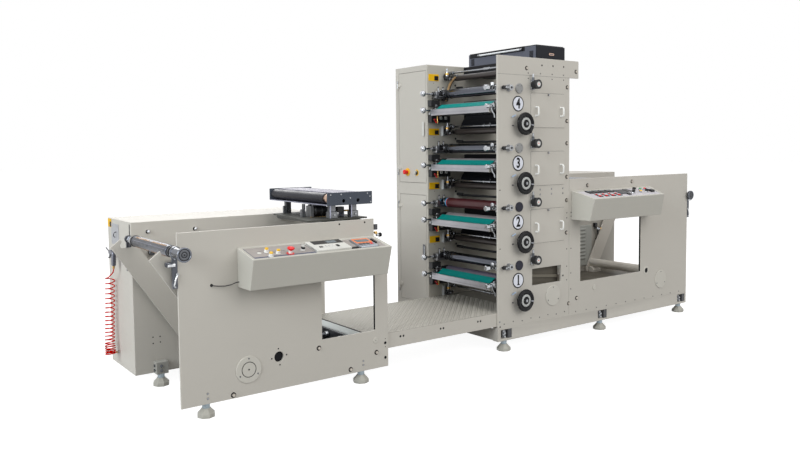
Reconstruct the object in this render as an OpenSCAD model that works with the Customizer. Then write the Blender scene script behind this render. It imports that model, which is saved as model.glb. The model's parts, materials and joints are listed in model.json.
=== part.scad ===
// Flexographic label press: unwind unit, walkway, four-station stack and rewind unit.
// Drawn in the machine's own frame: X along the web from the unwind end, Y from the
// operator's side to the drive side, Z up from the lower edge of the side plates.
// place() then moves everything to the middle of the footprint, at floor level.

/* [Frame] */
// Length of the unwind unit
unwind_len = 1430; // [1200:10:1700]
// Length of the unwind side plate above its step
unwind_top_len = 1324; // [1000:4:1600]
// Height of the unwind unit
unwind_h = 1000; // [850:10:1200]
// Length of the open walkway between unwind unit and stack
walkway_len = 1007; // [700:1:1300]
// Width of the stack
tower_w = 780; // [720:10:960]
// Height of the stack's side plate
tower_h = 2135; // [2060:5:2400]
// Length of the rewind unit
rewind_len = 1606; // [1400:2:1900]
// Height of the rewind unit
rewind_h = 1200; // [1130:10:1400]
// Clear width between the operator's plates and the drive side
web_gap = 807; // [700:1:1000]
// Thickness of the operator's side plates
plate_t = 15; // [10:1:25]
// Depth of the drive housings behind the web
housing_d = 511; // [400:1:700]
// Height of the levelling feet
foot_h = 80; // [50:1:120]
// Height of the base beam
beam_h = 105; // [95:1:130]

/* [Walkway] */
// Height of the walkway's top
walk_top = 218; // [190:1:260]
// Thickness of the walkway
walk_t = 103; // [60:1:110]

/* [Stations] */
// Number of print stations
station_n = 4; // [4]
// Height from one station to the next
pitch = 446; // [440:1:460]
// Height of the lowest print cylinder's axis
axis_z = 560; // [540:1:600]
// Distance of the print cylinders from the stack's edge
cyl_dx = 153; // [140:1:180]
// Radius of a print cylinder
cyl_r = 40; // [30:1:44]
// Radius of a print cylinder's journal
journal_r = 15; // [10:1:18]
// Radius of an inking roller
ink_r = 38; // [30:1:40]
// Radius of an idle roller
idle_r = 19; // [12:1:22]
// Radius of a handwheel
wheel_r = 86; // [60:1:100]

/* [Reels] */
// Radius of an air shaft
shaft_r = 33; // [25:1:38]
// Width of a lift arm
arm_w = 140; // [100:2:160]
// Thickness of a lift arm
arm_t = 12; // [8:1:16]
// Distance from the rewind arms' pivot to their tips
rewind_reach = 690; // [600:5:740]

/* [Consoles] */
// Depth of the unwind console at its top
unwind_console_d = 216; // [170:2:260]
// Depth of the rewind console at its top
rewind_console_d = 240; // [190:2:280]
// Height of a console's back
console_h = 233; // [200:1:280]

/* [Cabinet] */
// Depth of the electrical cabinet
cabinet_d = 432; // [400:2:520]
// Height of the electrical cabinet
cabinet_h = 2140; // [2100:5:2300]
// Wall of the electrical cabinet
cabinet_wall = 12; // [6:1:16]
// Thickness of a cabinet door
door_t = 18; // [12:1:24]
// Gap round a cabinet door
door_gap = 3; // [2:0.5:5]

/* [Hidden] */
$fn = 48;

// Colours
cream = [0.76, 0.75, 0.71];
grey_cream = [0.66, 0.66, 0.62];
steel = [0.75, 0.76, 0.78];
dark_steel = [0.30, 0.32, 0.35];
black = [0.08, 0.08, 0.09];
teal = [0.0, 0.50, 0.50];
maroon = [0.38, 0.08, 0.12];
red = [0.85, 0.12, 0.12];
yellow = [0.85, 0.65, 0.10];

// Clearance of a shaft in its bore, and of parts that sit face to face but move
run_gap = 0.05;
seat = 0.3;

// Main places along the machine
tower_x = unwind_len + walkway_len;
rewind_x = tower_x + tower_w;
end_x = rewind_x + rewind_len;
drive_y = plate_t + web_gap;
back_y = drive_y + housing_d;
// The stack's inner wall stands a little deeper than the drive housings' faces
tower_step = 8;
tower_y = drive_y + tower_step;
wall_t = 10;
cabinet_y = tower_y + wall_t;
console_front_y = -max(unwind_console_d, rewind_console_d);

// The reels' shafts lie just outside the units' ends
shaft_over = 15;
bracket_w = 30;
stud_len = 36;
horn_over = 125;
arm_over = shaft_over + horn_over;
rewind_over = shaft_over + bracket_w / 2 + stud_len;
mid_x = (end_x + rewind_over - arm_over) / 2;
mid_y = (back_y + console_front_y) / 2;

module place() { translate([-mid_x, -mid_y, foot_h]) children(); }

// ---------------------------------------------------------------- helpers
// A bar along Y from y0 to y1
module y_rod(x, z, y0, y1, r) {
  translate([x, y0, z]) rotate([-90, 0, 0]) cylinder(r = r, h = y1 - y0);
}
// A bar along X from x0 to x1
module x_rod(y, z, x0, x1, r) {
  translate([x0, y, z]) rotate([0, 90, 0]) cylinder(r = r, h = x1 - x0);
}
// A box given by its two corners
module box(a, b) { translate(a) cube(b - a); }
// An outline in X and Z drawn out along Y from y0 to y1
module y_slab(points, y0, y1) {
  translate([0, y1, 0]) rotate([90, 0, 0]) linear_extrude(y1 - y0) polygon(points);
}
// An outline in Y and Z drawn out along X from x0 to x1
module x_slab(points, x0, x1) {
  translate([x0, 0, 0]) rotate([90, 0, 90]) linear_extrude(x1 - x0) polygon(points);
}
function rect(x0, z0, x1, z1) = [[x0, z0], [x1, z0], [x1, z1], [x0, z1]];

// ---------------------------------------------------------------- unwind unit
unwind_step_z = 760;
unwind_window = [921, 255, 1326, 700];
arm_pivot = [414, 157];
spare_hole = [617, 199];
spare_hole_r = 32;
spare_bolt_pcd = 101;
spare_bolt_r = 4.25;
unwind_outline = [[0, 0], [unwind_len, 0], [unwind_len, unwind_step_z],
                  [unwind_top_len, unwind_step_z], [unwind_top_len, unwind_h], [0, unwind_h]];

module unwind_front_plate() {
  color(cream) difference() {
    y_slab(unwind_outline, 0, plate_t);
    y_slab(rect(unwind_window[0], unwind_window[1], unwind_window[2], unwind_window[3]),
           -1, plate_t + 1);
    y_rod(spare_hole[0], spare_hole[1], -1, plate_t + 1, spare_hole_r);
    for (a = [5 : 90 : 275])
      y_rod(spare_hole[0] + spare_bolt_pcd / 2 * cos(a), spare_hole[1] + spare_bolt_pcd / 2 * sin(a),
            -1, plate_t + 1, spare_bolt_r);
    pivot_bore(arm_pivot);
  }
}
// Blind bore for a lift arm's pivot pin, from the inner face of a side plate
pivot_pin_r = 20;
pivot_depth = 10;
module pivot_bore(p) {
  y_rod(p[0], p[1], plate_t - pivot_depth, plate_t + 1, pivot_pin_r + run_gap);
}
module drive_pivot_bore(p) {
  y_rod(p[0], p[1], drive_y - 1, drive_y + pivot_depth, pivot_pin_r + run_gap);
}

module unwind_back_box() {
  color(cream) difference() {
    y_slab(unwind_outline, drive_y, back_y);
    drive_pivot_bore(arm_pivot);
  }
}

// Cross bars that tie the side plates to the drive side
tie_r = 20;
walk_bottom = walk_top - walk_t;
support_r = 12;
unwind_ties = [[895, 207], [1130, 28], [314, 30], [1060, unwind_h - 20], [1253, unwind_h - 20]];
rewind_ties = [[rewind_x + 218, rewind_h - 59], [rewind_x + 793, rewind_h - 47],
               [end_x - 120, 150], [rewind_x + 90, 230]];
module tie_bars() {
  color(steel) {
    for (p = concat(unwind_ties, rewind_ties)) y_rod(p[0], p[1], plate_t, drive_y, tie_r);
    y_rod(unwind_top_len + 40, walk_bottom - support_r, plate_t, drive_y, support_r);
  }
}

// ---------------------------------------------------------------- consoles
unwind_console_x = [358, 1317];
unwind_console_z = 657;
rewind_console_x = [rewind_x + 26, rewind_x + 1043];
rewind_console_z = 872;
console_chin = 50;
console_rim = 22;
console_recess = 6;
console_tilt = 13.2;
// The rewind console's right end is cut at an angle in plan
console_cut = 125;

// Outline of a console in Y and Z, with its lower back corner at z0
function console_outline(z0, d) = [
  [0, z0], [0, z0 + console_h], [-d, z0 + console_h - d * tan(console_tilt)],
  [-d + console_chin, z0]];
function top_len(d) = d / cos(console_tilt);

// Moves children onto a console's sloping top: x along it, y up the slope, z outward
module on_console(z0, d) {
  translate([0, -d, z0 + console_h - d * tan(console_tilt)]) rotate([console_tilt, 0, 0])
    children();
}

// A console; its right end leans back by cut from its front corner to its back corner
module console(xs, z0, d, cut) {
  m = console_rim;
  w = top_len(d);
  difference() {
    x_slab(console_outline(z0, d), xs[0], xs[1]);
    translate([0, 0, z0 - 1]) linear_extrude(console_h + 2)
      polygon([[xs[1] + cut / 10, d / 10], [xs[1] - 1.1 * cut, -1.1 * d], [xs[1] + 9, -1.1 * d]]);
    on_console(z0, d) translate([0, 0, -console_recess]) linear_extrude(40)
      polygon([[xs[0] + m, m], [xs[1] - m - cut + cut * m / w, m],
               [xs[1] - m - cut * m / w, w - m], [xs[0] + m, w - m]]);
  }
}
module consoles() {
  color(grey_cream) {
    console(unwind_console_x, unwind_console_z, unwind_console_d, 0);
    console(rewind_console_x, rewind_console_z, rewind_console_d, console_cut);
  }
}

// A push button: bezel and cap, standing on the recessed panel
button_r = 15;
button_h = 22;
module push_button(r, h) {
  cylinder(r = r, h = h * 0.6);
  translate([0, 0, h * 0.6]) cylinder(r = r * 0.8, h = h * 0.4);
}
module mushroom(r, h) {
  cylinder(r = r * 0.55, h = h * 0.6);
  translate([0, 0, h * 0.6]) cylinder(r1 = r * 0.8, r2 = r, h = h * 0.25);
  translate([0, 0, h * 0.85]) cylinder(r = r, h = h * 0.15);
}
// Places along the unwind console, from its left end and up its slope
panel_buttons = [[137, 94], [132, 23], [194, 55]];
estop_place = [266, 38];
selector_place = [363, 64];
tension_box = [428, 25, 247, 160, 17];
counter_box = [740, 2, 134, 146, 13];
// Places along the rewind console
meter_w = 66;
meter_pitch = 79;
meter_start = 117;
meter_y = 150;
run_buttons = [[681, 158], [600, 100], [767, 160], [703, 105], [830, 160], [780, 103], [860, 110]];
module console_controls() {
  color(steel) {
    on_console(unwind_console_z, unwind_console_d) translate([unwind_console_x[0], 0, -console_recess]) {
      for (p = panel_buttons) translate([p[0], console_rim + p[1], 0]) push_button(button_r, button_h);
      translate([estop_place[0], console_rim + estop_place[1], 0]) mushroom(20, 34);
      translate([selector_place[0], console_rim + selector_place[1], 0]) push_button(14, 30);
      translate([tension_box[0], tension_box[1], 0])
        cube([tension_box[2], tension_box[3], tension_box[4]]);
      translate([counter_box[0], console_rim + counter_box[1], 0])
        cube([counter_box[2], counter_box[3], counter_box[4]]);
    }
    on_console(rewind_console_z, rewind_console_d) translate([rewind_console_x[0], 0, -console_recess]) {
      for (i = [0 : 3]) translate([meter_start + i * meter_pitch, meter_y, 0])
        cube([meter_w, 63, 14]);
      for (i = [0 : 3]) translate([meter_start + i * meter_pitch + 18, 57, 0])
        cube([28, 28, 10]);
      translate([meter_start + 4 * meter_pitch + 7, 92, 0]) cube([115, 100, 10]);
      for (p = run_buttons) translate([p[0], p[1], 0]) push_button(button_r, button_h);
    }
  }
}

// ---------------------------------------------------------------- web guide
guide_x = [996, 1338];
guide_y = [35, 843];
guide_z = [unwind_h + 97, unwind_h + 180];
guide_side_t = 8;
guide_mid = [(guide_x[0] + guide_x[1]) / 2, (guide_y[0] + guide_y[1]) / 2];
guide_roller_r = 33;
guide_journal_r = 10;
guide_base_t = 10;
leg_w = 50;
guide_pivot_r = 20;
module guide_base() {
  pad_z = guide_z[0] - seat;
  color(dark_steel) {
    translate([0, 0, unwind_h]) linear_extrude(guide_base_t)
      polygon([[868, 60], [unwind_top_len - 10, 60], [unwind_top_len - 10, 720], [962, 720]]);
    difference() {
      union() {
        for (x = [1040, 1240], y = [150, 640])
          box([x - leg_w / 2, y - leg_w / 2, unwind_h + guide_base_t], [x + leg_w / 2, y + leg_w / 2, pad_z]);
        translate([guide_mid[0], guide_mid[1], unwind_h + guide_base_t])
          cylinder(r = 45, h = pad_z - unwind_h - guide_base_t);
      }
      translate([guide_mid[0], guide_mid[1], pad_z - 40]) cylinder(r = guide_pivot_r + run_gap, h = 60);
    }
    // Actuator that swivels the frame
    x_rod(330, unwind_h + guide_base_t + 36, 1130, 1260, 36);
  }
}
guide_roller_x = [guide_x[0] + 39, guide_x[1] - 39];
guide_roller_z = guide_z[1] - guide_roller_r - 6;
module guide_frame() {
  color(dark_steel) {
    difference() {
      union() {
        for (y = [guide_y[0], guide_y[1] - guide_side_t])
          box([guide_x[0], y, guide_z[0]], [guide_x[1], y + guide_side_t, guide_z[1]]);
        // Floor plate between the sides
        box([guide_x[0], guide_y[0], guide_z[0]], [guide_x[1], guide_y[1], guide_z[0] + 6]);
        // Top plate between the rollers
        box([guide_x[0] + 80, guide_y[0], guide_z[1] - 8],
            [guide_x[1] - 80, guide_y[1], guide_z[1] - 2]);
      }
      for (x = guide_roller_x)
        y_rod(x, guide_roller_z, guide_y[0] + 2, guide_y[1] - 2, guide_journal_r + run_gap);
      // Two round windows in each side plate
      for (x = [1142, 1262]) y_rod(x, guide_z[0] + 27, guide_y[0] - 1, guide_y[1] + 1, 15);
    }
    translate([guide_mid[0], guide_mid[1], guide_z[0] - 36]) cylinder(r = guide_pivot_r, h = 38);
  }
}
module guide_roller(i) {
  x = guide_roller_x[i];
  color(black) {
    y_rod(x, guide_roller_z, guide_y[0] + 14, guide_y[1] - 14, guide_roller_r);
    y_rod(x, guide_roller_z, guide_y[0] + 3, guide_y[1] - 3, guide_journal_r);
  }
}

// ---------------------------------------------------------------- reels
unwind_shaft = [-shaft_over, unwind_h - 105];
rewind_shaft = [end_x + shaft_over, rewind_h - 200];
shaft_journal_r = 12;
bearing_eye_r = 24;
bracket_t = 16;
bracket_drop = 205;
hub_r = 36;
hub_gap = 8;
hub_recess = 10;
unwind_hub_len = 147;
rewind_hub_len = 24;

// A hanging bar bolted to a plate's end, with an eye at its top for the shaft's journal;
// side is -1 where the shaft lies left of the plate and 1 where it lies right of it
module shaft_bracket(p, side, y0) {
  edge = p[0] - side * bracket_w / 2;
  inner = edge - side * bearing_eye_r;
  difference() {
    union() {
      box([min(edge, edge + side * bracket_w), y0, p[1] - bracket_drop],
          [max(edge, edge + side * bracket_w), y0 + bracket_t, p[1]]);
      y_rod(p[0], p[1], y0, y0 + bracket_t, bearing_eye_r);
    }
    box([min(edge, inner), y0 - 1, p[1] - bearing_eye_r - 1],
        [max(edge, inner), y0 + bracket_t + 1, p[1] + bearing_eye_r + 1]);
    y_rod(p[0], p[1], y0 - 1, y0 + bracket_t + 1, shaft_journal_r + run_gap);
  }
}
rewind_pivot = [end_x - 394, 264];
module shaft_brackets() {
  color(dark_steel) {
    for (y = [0, drive_y]) {
      shaft_bracket(unwind_shaft, -1, y);
      shaft_bracket(rewind_shaft, 1, y);
    }
    // Locking knob on each operator's bar
    x_rod(bracket_t / 2, unwind_shaft[1] - 67, unwind_shaft[0] - bracket_w / 2 - stud_len,
          unwind_shaft[0] - bracket_w / 2, 13);
    x_rod(bracket_t / 2, rewind_shaft[1] - 40, rewind_shaft[0] + bracket_w / 2,
          rewind_shaft[0] + bracket_w / 2 + stud_len, 13);
  }
}
// Air shaft with journals through the brackets, and a hollow hub outside the operator's bar
module air_shaft(p, hub_len) {
  y_end = -hub_gap - hub_len;
  color(steel) {
    y_rod(p[0], p[1], bracket_t + 10, drive_y - 10, shaft_r);
    y_rod(p[0], p[1], -hub_gap - 4, drive_y + bracket_t - 2, shaft_journal_r);
    difference() {
      y_rod(p[0], p[1], y_end, -hub_gap, hub_r);
      y_rod(p[0], p[1], y_end - 1, y_end + hub_recess, hub_r - 9);
    }
  }
}
module unwind_air_shaft() { air_shaft(unwind_shaft, unwind_hub_len); }
module rewind_air_shaft() { air_shaft(rewind_shaft, rewind_hub_len); }

near_arm_gap = 34;
far_arm_gap = 26;
arm_y = [plate_t + near_arm_gap, drive_y - far_arm_gap - arm_t];
arm_tube_r = 40;
arm_tube_up = 61;
// Clearance of the raised cradle below and beside the reel's shaft
cradle_gap = 19;
horn_gap = 22;

// Tip of an arm round its cradle; the points run from the outer corner over the horn
// and along the cradle's seat, as offsets from the seat's middle, for an arm that
// leans towards -X
function tip(c, side) = [for (q = [[-horn_over, 10], [-64, 58], [-55, 41], [-69, 20], [-60, 2], [51, 0]])
  [c[0] - side * q[0], c[1] + q[1]]];
module arm_plate(pivot, c, side) {
  points = tip(c, side);
  ends = (points[0] + points[len(points) - 1]) / 2;
  along = unit([ends[0] - pivot[0], ends[1] - pivot[1]]);
  across = [along[1], -along[0]] * (side * arm_w / 2);
  union() {
    translate(pivot) circle(r = arm_w / 2);
    polygon(concat(points, [pivot - across, pivot + across]));
  }
}
// A pair of arms joined by a cross tube, on pins in the side plate and the housing
module lift_arms(pivot, c, side) {
  for (y = arm_y)
    translate([0, y + arm_t, 0]) rotate([90, 0, 0]) linear_extrude(arm_t) arm_plate(pivot, c, side);
  y_rod(pivot[0], pivot[1] + arm_tube_up, arm_y[0] + arm_t / 2, arm_y[1] + arm_t / 2, arm_tube_r);
  y_rod(pivot[0], pivot[1], plate_t - pivot_depth + 1, arm_y[0] + arm_t / 2, pivot_pin_r);
  y_rod(pivot[0], pivot[1], arm_y[1] + arm_t / 2, drive_y + pivot_depth - 1, pivot_pin_r);
}
unwind_seat = [unwind_shaft[0], unwind_shaft[1] - shaft_r - cradle_gap];
// The rewind arms rest lower, short of their shaft
rewind_lean = 62;
rewind_seat = rewind_pivot + (rewind_reach - 85) * [cos(rewind_lean), sin(rewind_lean)];
module unwind_lift_arms() { color(cream) lift_arms(arm_pivot, unwind_seat, -1); }
module rewind_lift_arms() { color(cream) lift_arms(rewind_pivot, rewind_seat, 1); }

// ---------------------------------------------------------------- round covers
round_cover_r = 82;
round_cover_t = 6;
bearing_cover_r = 31;
bearing_cover_dx = 222;
bearing_cover_t = 10;
module round_covers() {
  color(cream) for (p = [arm_pivot, rewind_pivot, [tower_x + 592, 284]])
    y_rod(p[0], p[1], -round_cover_t, 0, round_cover_r);
  color(steel) for (i = [0 : station_n - 1])
    y_rod(tower_x + bearing_cover_dx, axis_z + i * pitch, -bearing_cover_t, 0, bearing_cover_r);
}

// ---------------------------------------------------------------- feet
pad_r = 52;
pad_h = 26;
stem_r = 15;
front_foot_y = 32;
rear_foot_y = back_y - 60;
foot_bracket_h = 70;
unwind_feet_x = [157, 1229];
beam_feet_x = [tower_x + 88, rewind_x + 418, end_x - 78];
module foot(x, y) {
  translate([x, y, -foot_h]) {
    cylinder(r = pad_r, h = pad_h * 0.4);
    translate([0, 0, pad_h * 0.4]) cylinder(r1 = pad_r, r2 = pad_r * 0.62, h = pad_h * 0.6);
    cylinder(r = stem_r, h = foot_h);
    translate([0, 0, foot_h - 14]) cylinder(r = stem_r + 11, h = 14);
  }
}
module level_feet() {
  color(steel) {
    for (x = unwind_feet_x) {
      // Operator's side: the foot carries a block bolted to the inside of the plate
      foot(x, front_foot_y);
      box([x - 30, plate_t, 0], [x + 30, front_foot_y + 30, foot_bracket_h]);
      // Drive side: the front foot carries a block bolted to the housing's face
      foot(x, drive_y - 30);
      box([x - 35, drive_y - 62, 0], [x + 35, drive_y, foot_bracket_h]);
      foot(x, rear_foot_y);
    }
    for (x = beam_feet_x) foot(x, front_foot_y);
    foot(beam_feet_x[0], cabinet_y + cabinet_d - 60);
    for (i = [1, 2]) foot(beam_feet_x[i], rear_foot_y);
  }
}

// ---------------------------------------------------------------- walkway
module walkway() {
  color(cream) difference() {
    union() {
      box([unwind_top_len - 4, plate_t, walk_bottom], [rewind_x, drive_y, walk_top]);
      box([unwind_len, plate_t, walk_bottom], [rewind_x, tower_y, walk_top]);
    }
    for (i = [0 : 2], dx = [-13, 13])
      y_rod(unwind_len + 126 + i * 353 + dx, walk_bottom + walk_t * 0.63, plate_t - 1, plate_t + 20, 8);
  }
}

// ---------------------------------------------------------------- stack
tower_top_strip = 136;
tower_overhang = 105;
cover_x = [tower_x + 346, tower_x + 721];
cover_dz = 154;
cover_h = 262;
cover_lap = 18;
tower_window = [tower_x + 362, axis_z - 175, tower_x + 687, axis_z - 45];
wheel_dx = 240;
wheel_dz = -266;
wheel_y = -50;
rod_r = 7;
rod_x = tower_x + wheel_dx;
rod_seat = 50;
cyl_x = tower_x + cyl_dx;
ink_dx = -5;
ink_dz = -117;
ink_x = cyl_x + ink_dx;
idle_dx = 122;
idle_dz = 138;
idle_x = cyl_x + idle_dx;
idle_journal_r = 8;
bore_depth = 6;
function station_z(i) = axis_z + i * pitch;

module tower_front_plate() {
  color(cream) difference() {
    y_slab([[tower_x, beam_h], [rewind_x, beam_h], [rewind_x, tower_h - tower_top_strip],
            [rewind_x + tower_overhang, tower_h - tower_top_strip],
            [rewind_x + tower_overhang, tower_h], [tower_x, tower_h]], 0, plate_t);
    y_slab(rect(tower_window[0], tower_window[1], tower_window[2], tower_window[3]),
           -1, plate_t + 1);
    for (i = [0 : station_n - 2]) {
      z0 = station_z(i) + cover_dz;
      y_slab(rect(cover_x[0] + cover_lap, z0 + cover_lap, cover_x[1] - cover_lap, z0 + cover_h - cover_lap),
             -1, plate_t + 1);
    }
    for (i = [0 : station_n - 1]) {
      y_rod(rod_x, station_z(i) + wheel_dz, -1, plate_t + 1, rod_r + run_gap);
      y_rod(idle_x, station_z(i) + idle_dz, plate_t - bore_depth, plate_t + 1, idle_journal_r + run_gap);
    }
  }
}
module tower_back_wall() {
  color(cream) difference() {
    box([tower_x, tower_y, 0], [rewind_x, tower_y + wall_t, tower_h]);
    for (i = [0 : station_n - 1])
      y_rod(idle_x, station_z(i) + idle_dz, tower_y - 1, tower_y + bore_depth, idle_journal_r + run_gap);
  }
}

beam_d = 60;
pocket_w = 114;
pocket_z = [15, 86];
module base_beam() {
  color(cream) difference() {
    union() {
      box([tower_x, 0, 0], [end_x, beam_d, beam_h]);
      // Cross sills to the drive side
      box([tower_x + 350, beam_d, 0], [tower_x + 410, tower_y, beam_h]);
      box([end_x - 480, beam_d, 0], [end_x - 420, drive_y, beam_h]);
    }
    for (x = beam_feet_x)
      box([x - pocket_w / 2, -1, pocket_z[0]], [x + pocket_w / 2, beam_d - 8, pocket_z[1]]);
  }
}

// Lift-off covers, each with two bow handles and a thumb screw
cover_t = 4;
handle_h = 90;
handle_out = 32;
handle_r = 5;
module bow_handle(x, z) {
  for (dz = [-handle_h / 2, handle_h / 2]) y_rod(x, z + dz, -cover_t - handle_out, -cover_t, handle_r);
  translate([x, -cover_t - handle_out, z - handle_h / 2 - handle_r])
    cylinder(r = handle_r, h = handle_h + 2 * handle_r);
}
module access_covers() {
  color(cream) for (i = [0 : station_n - 2]) {
    z0 = station_z(i) + cover_dz;
    y_slab(rect(cover_x[0], z0, cover_x[1], z0 + cover_h), -cover_t, 0);
    for (x = [cover_x[0] + 62, cover_x[1] - 26]) bow_handle(x, z0 + cover_h / 2 - 8);
    y_rod((cover_x[0] + cover_x[1]) / 2, z0 + cover_h - 10, -cover_t - 12, -cover_t, 7);
  }
}

disc_dx = 209;
disc_dz = -115;
disc_r = 58;
disc_t = 3;
module number_discs() {
  color("white") for (i = [0 : station_n - 1])
    y_rod(tower_x + disc_dx, station_z(i) + disc_dz, -disc_t, 0, disc_r);
}

// Register adjusters left of each bearing cover and dial gauges right of it
adjuster_dx = 66;
dial_plate_dx = 362;
dial_dz = 32;
module register_controls() {
  color(black) for (i = [0 : station_n - 1]) {
    z = station_z(i);
    x = tower_x + adjuster_dx;
    y_rod(x + 22, z, -34, 0, 20);
    x_rod(-22, z, x - 38, x + 2, 15);
    y_rod(x - 24, z, -48, -20, 12);
    xd = tower_x + dial_plate_dx;
    zd = z + dial_dz;
    box([xd - 30, -14, zd - 38], [xd + 14, 0, zd + 40]);
    y_rod(xd - 6, zd, -66, -14, 34);
    translate([xd - 14, -24, zd + 24]) cylinder(r = 9, h = 52);
  }
}

// A handwheel on its rod, which runs through the plate and across the web to a bearing
// on the drive side, with a collar on each side of the plate
wheel_rim_r = 11;
module handwheel(i) {
  translate([rod_x, 0, station_z(i) + wheel_dz]) {
    color(black) translate([0, wheel_y, 0]) rotate([90, 0, 0]) {
      rotate_extrude() translate([wheel_r - wheel_rim_r, 0]) circle(r = wheel_rim_r, $fn = 24);
      translate([0, 0, -5]) difference() {
        cylinder(r = wheel_r - wheel_rim_r, h = 8);
        for (a = [90 : 120 : 330]) rotate(a) translate([wheel_r * 0.6, 0, -1]) cylinder(r = 9, h = 10);
      }
      translate([0, 0, -12]) cylinder(r = 44, h = 20);
    }
    color(steel) y_rod(0, 0, wheel_y, tower_y - rod_seat + 30, rod_r);
    color(steel) y_rod(0, 0, plate_t + seat, plate_t + 12, rod_r + 8);
    color(steel) y_rod(0, 0, -20, -seat, rod_r + 10);
  }
}

// ---------------------------------------------------------------- print stations
head_near_y = [plate_t, plate_t + 60];
head_far_y = [tower_y - 60, tower_y];
head_x = [cyl_x - 110, cyl_x + 50];
head_h = 76;
cheek_x = [ink_x - 100, ink_x + 34];
cheek_h = 70;
cheek_knob_dz = -18;
ink_journal_r = 10;
cyl_gap = 10;
module print_cylinder(i) {
  z = station_z(i);
  color(i == 1 ? maroon : steel) {
    y_rod(cyl_x, z, head_near_y[1] + cyl_gap, head_far_y[0] - cyl_gap, cyl_r);
    y_rod(cyl_x, z, head_near_y[0] + 20, head_far_y[1] - 20, journal_r);
  }
}
module ink_roller(i) {
  z = station_z(i) + ink_dz;
  color(dark_steel) {
    y_rod(ink_x, z, head_near_y[1] + cyl_gap, head_far_y[0] - cyl_gap, ink_r);
    y_rod(ink_x, z, head_near_y[0] + 30, head_far_y[1] - 30, ink_journal_r);
  }
}
module idle_roller(i) {
  z = station_z(i) + idle_dz;
  color(black) {
    y_rod(idle_x, z, plate_t + 8, tower_y - 8, idle_r);
    y_rod(idle_x, z, plate_t - bore_depth + 1, tower_y + bore_depth - 1, idle_journal_r);
  }
}

// Bearing heads: a block with its adjusting knob, on both sides of each roller
knob_x = tower_x - 70;
knob_r = 23;
module head(xs, z, h, ys, roller_x, bore_r, bore_y, knob_dz) {
  y_mid = (ys[0] + ys[1]) / 2;
  difference() {
    box([xs[0], ys[0], z - h / 2], [xs[1], ys[1], z + h / 2]);
    y_rod(roller_x, z, bore_y[0], bore_y[1], bore_r + run_gap);
  }
  x_rod(y_mid, z + knob_dz, knob_x, xs[0], 8);
  translate([knob_x, y_mid, z + knob_dz]) sphere(r = knob_r);
}
module bearing_heads() {
  color(dark_steel) for (i = [0 : station_n - 1]) {
    z = station_z(i);
    near = [head_near_y[0] + 15, head_near_y[1] + 1];
    far = [head_far_y[0] - 1, head_far_y[1] - 15];
    head(head_x, z, head_h, head_near_y, cyl_x, journal_r, near, 0);
    head(head_x, z, head_h, head_far_y, cyl_x, journal_r, far, 0);
    head(cheek_x, z + ink_dz, cheek_h, head_near_y, ink_x, ink_journal_r, near, cheek_knob_dz);
    head(cheek_x, z + ink_dz, cheek_h, head_far_y, ink_x, ink_journal_r, far, cheek_knob_dz);
  }
}

// Ink tray: an aluminium bar in front of a trough with a sloping liner
tray_x = tower_x - 17;
tray_bar = 28;
tray_z = [-179, -128];
liner_t = 5;
module ink_trays() {
  y0 = head_near_y[1];
  y1 = head_far_y[0];
  for (i = [0 : station_n - 1]) {
    z = station_z(i);
    b = tray_x + tray_bar;
    color(steel) y_slab(rect(tray_x, z + tray_z[0], b, z + tray_z[1]), y0, y1);
    color(teal) y_slab([[b, z - 176], [ink_x + 34, z - 176], [ink_x + 34, z - 169],
                        [b + 12, z - 169], [b + 12, z - 138], [b + 30, z - 132],
                        [b + 54, z - 98], [b + 49, z - 95], [b + 26, z - 128], [b, z - 134]],
                       y0, y1);
    color(teal) y_slab(rect(ink_x + 34 + 8, z - 176, ink_x + 34 + 8 + liner_t, z - 135), y0, y1);
    color(teal) y_slab(rect(ink_x + 33, z - 176, ink_x + 34 + 9, z - 169), y0, y1);
  }
}

// Drive-side brackets with air valves, and the bearings of the handwheels' rods
fitting_n = station_n + 1;
bearing_r = 14;
valve_x = cyl_x + 24;
module wall_fittings() {
  color(steel) for (i = [0 : fitting_n - 1]) {
    z = axis_z + wheel_dz + i * pitch;
    y0 = tower_y - rod_seat;
    box([valve_x - 36, tower_y - 6, z - 74], [valve_x + 16, tower_y, z + 8]);
    box([valve_x - 36, tower_y - 70, z - 74], [valve_x - 30, tower_y - 6, z + 8]);
    y_rod(valve_x, z - 34, tower_y - 70, tower_y - 6, 22);
    if (i < station_n) difference() {
      y_rod(rod_x, z, y0, tower_y, bearing_r);
      y_rod(rod_x, z, y0 - 1, y0 + 34, rod_r + run_gap);
    }
    else {
      y_rod(rod_x, z, plate_t, y0, rod_r);
      y_rod(rod_x, z, y0, tower_y, bearing_r);
    }
  }
}

// Dark hot-air chambers that cross the web behind the rollers
dryer_x = [tower_x + 392, rewind_x - 30];
dryer_dz = 154;
dryer_h = 240;
module dryer_boxes() {
  color(black) for (i = [0 : station_n - 1]) {
    z0 = station_z(i) + dryer_dz;
    box([dryer_x[0], plate_t, z0], [dryer_x[1], tower_y, min(z0 + dryer_h, tower_h)]);
  }
}

hood_h = 112;
hood_x = [tower_x + 450, tower_x + 772];
hood_y = [plate_t + 28, tower_y];
module exhaust_hood() {
  color(black) box([hood_x[0], hood_y[0], tower_h], [hood_x[1], hood_y[1], tower_h + hood_h]);
}
module lamp_tube() {
  color(black) box([hood_x[0] - 24, hood_y[0] + 120, tower_h + hood_h - 30],
                   [hood_x[0], hood_y[1] - 20, tower_h + hood_h - 12]);
  color(steel) y_rod(hood_x[0] - 13, tower_h + hood_h, hood_y[0] + 130, hood_y[1] - 30, 13);
}

// ---------------------------------------------------------------- electrical cabinet
cabinet_x = [tower_x, rewind_x];
shelf_z = 1116;
door_margin = 48;
upper_door_y = [cabinet_y + 15, cabinet_y + cabinet_d - door_margin];
lower_door_y = [cabinet_y + 18, cabinet_y + cabinet_d - door_margin - 6];
upper_door_z = [1169, 2092];
lower_door_z = [160, 1064];
hinge_y = cabinet_y + cabinet_d - door_margin + 5;
hinge_r = 6;
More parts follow.
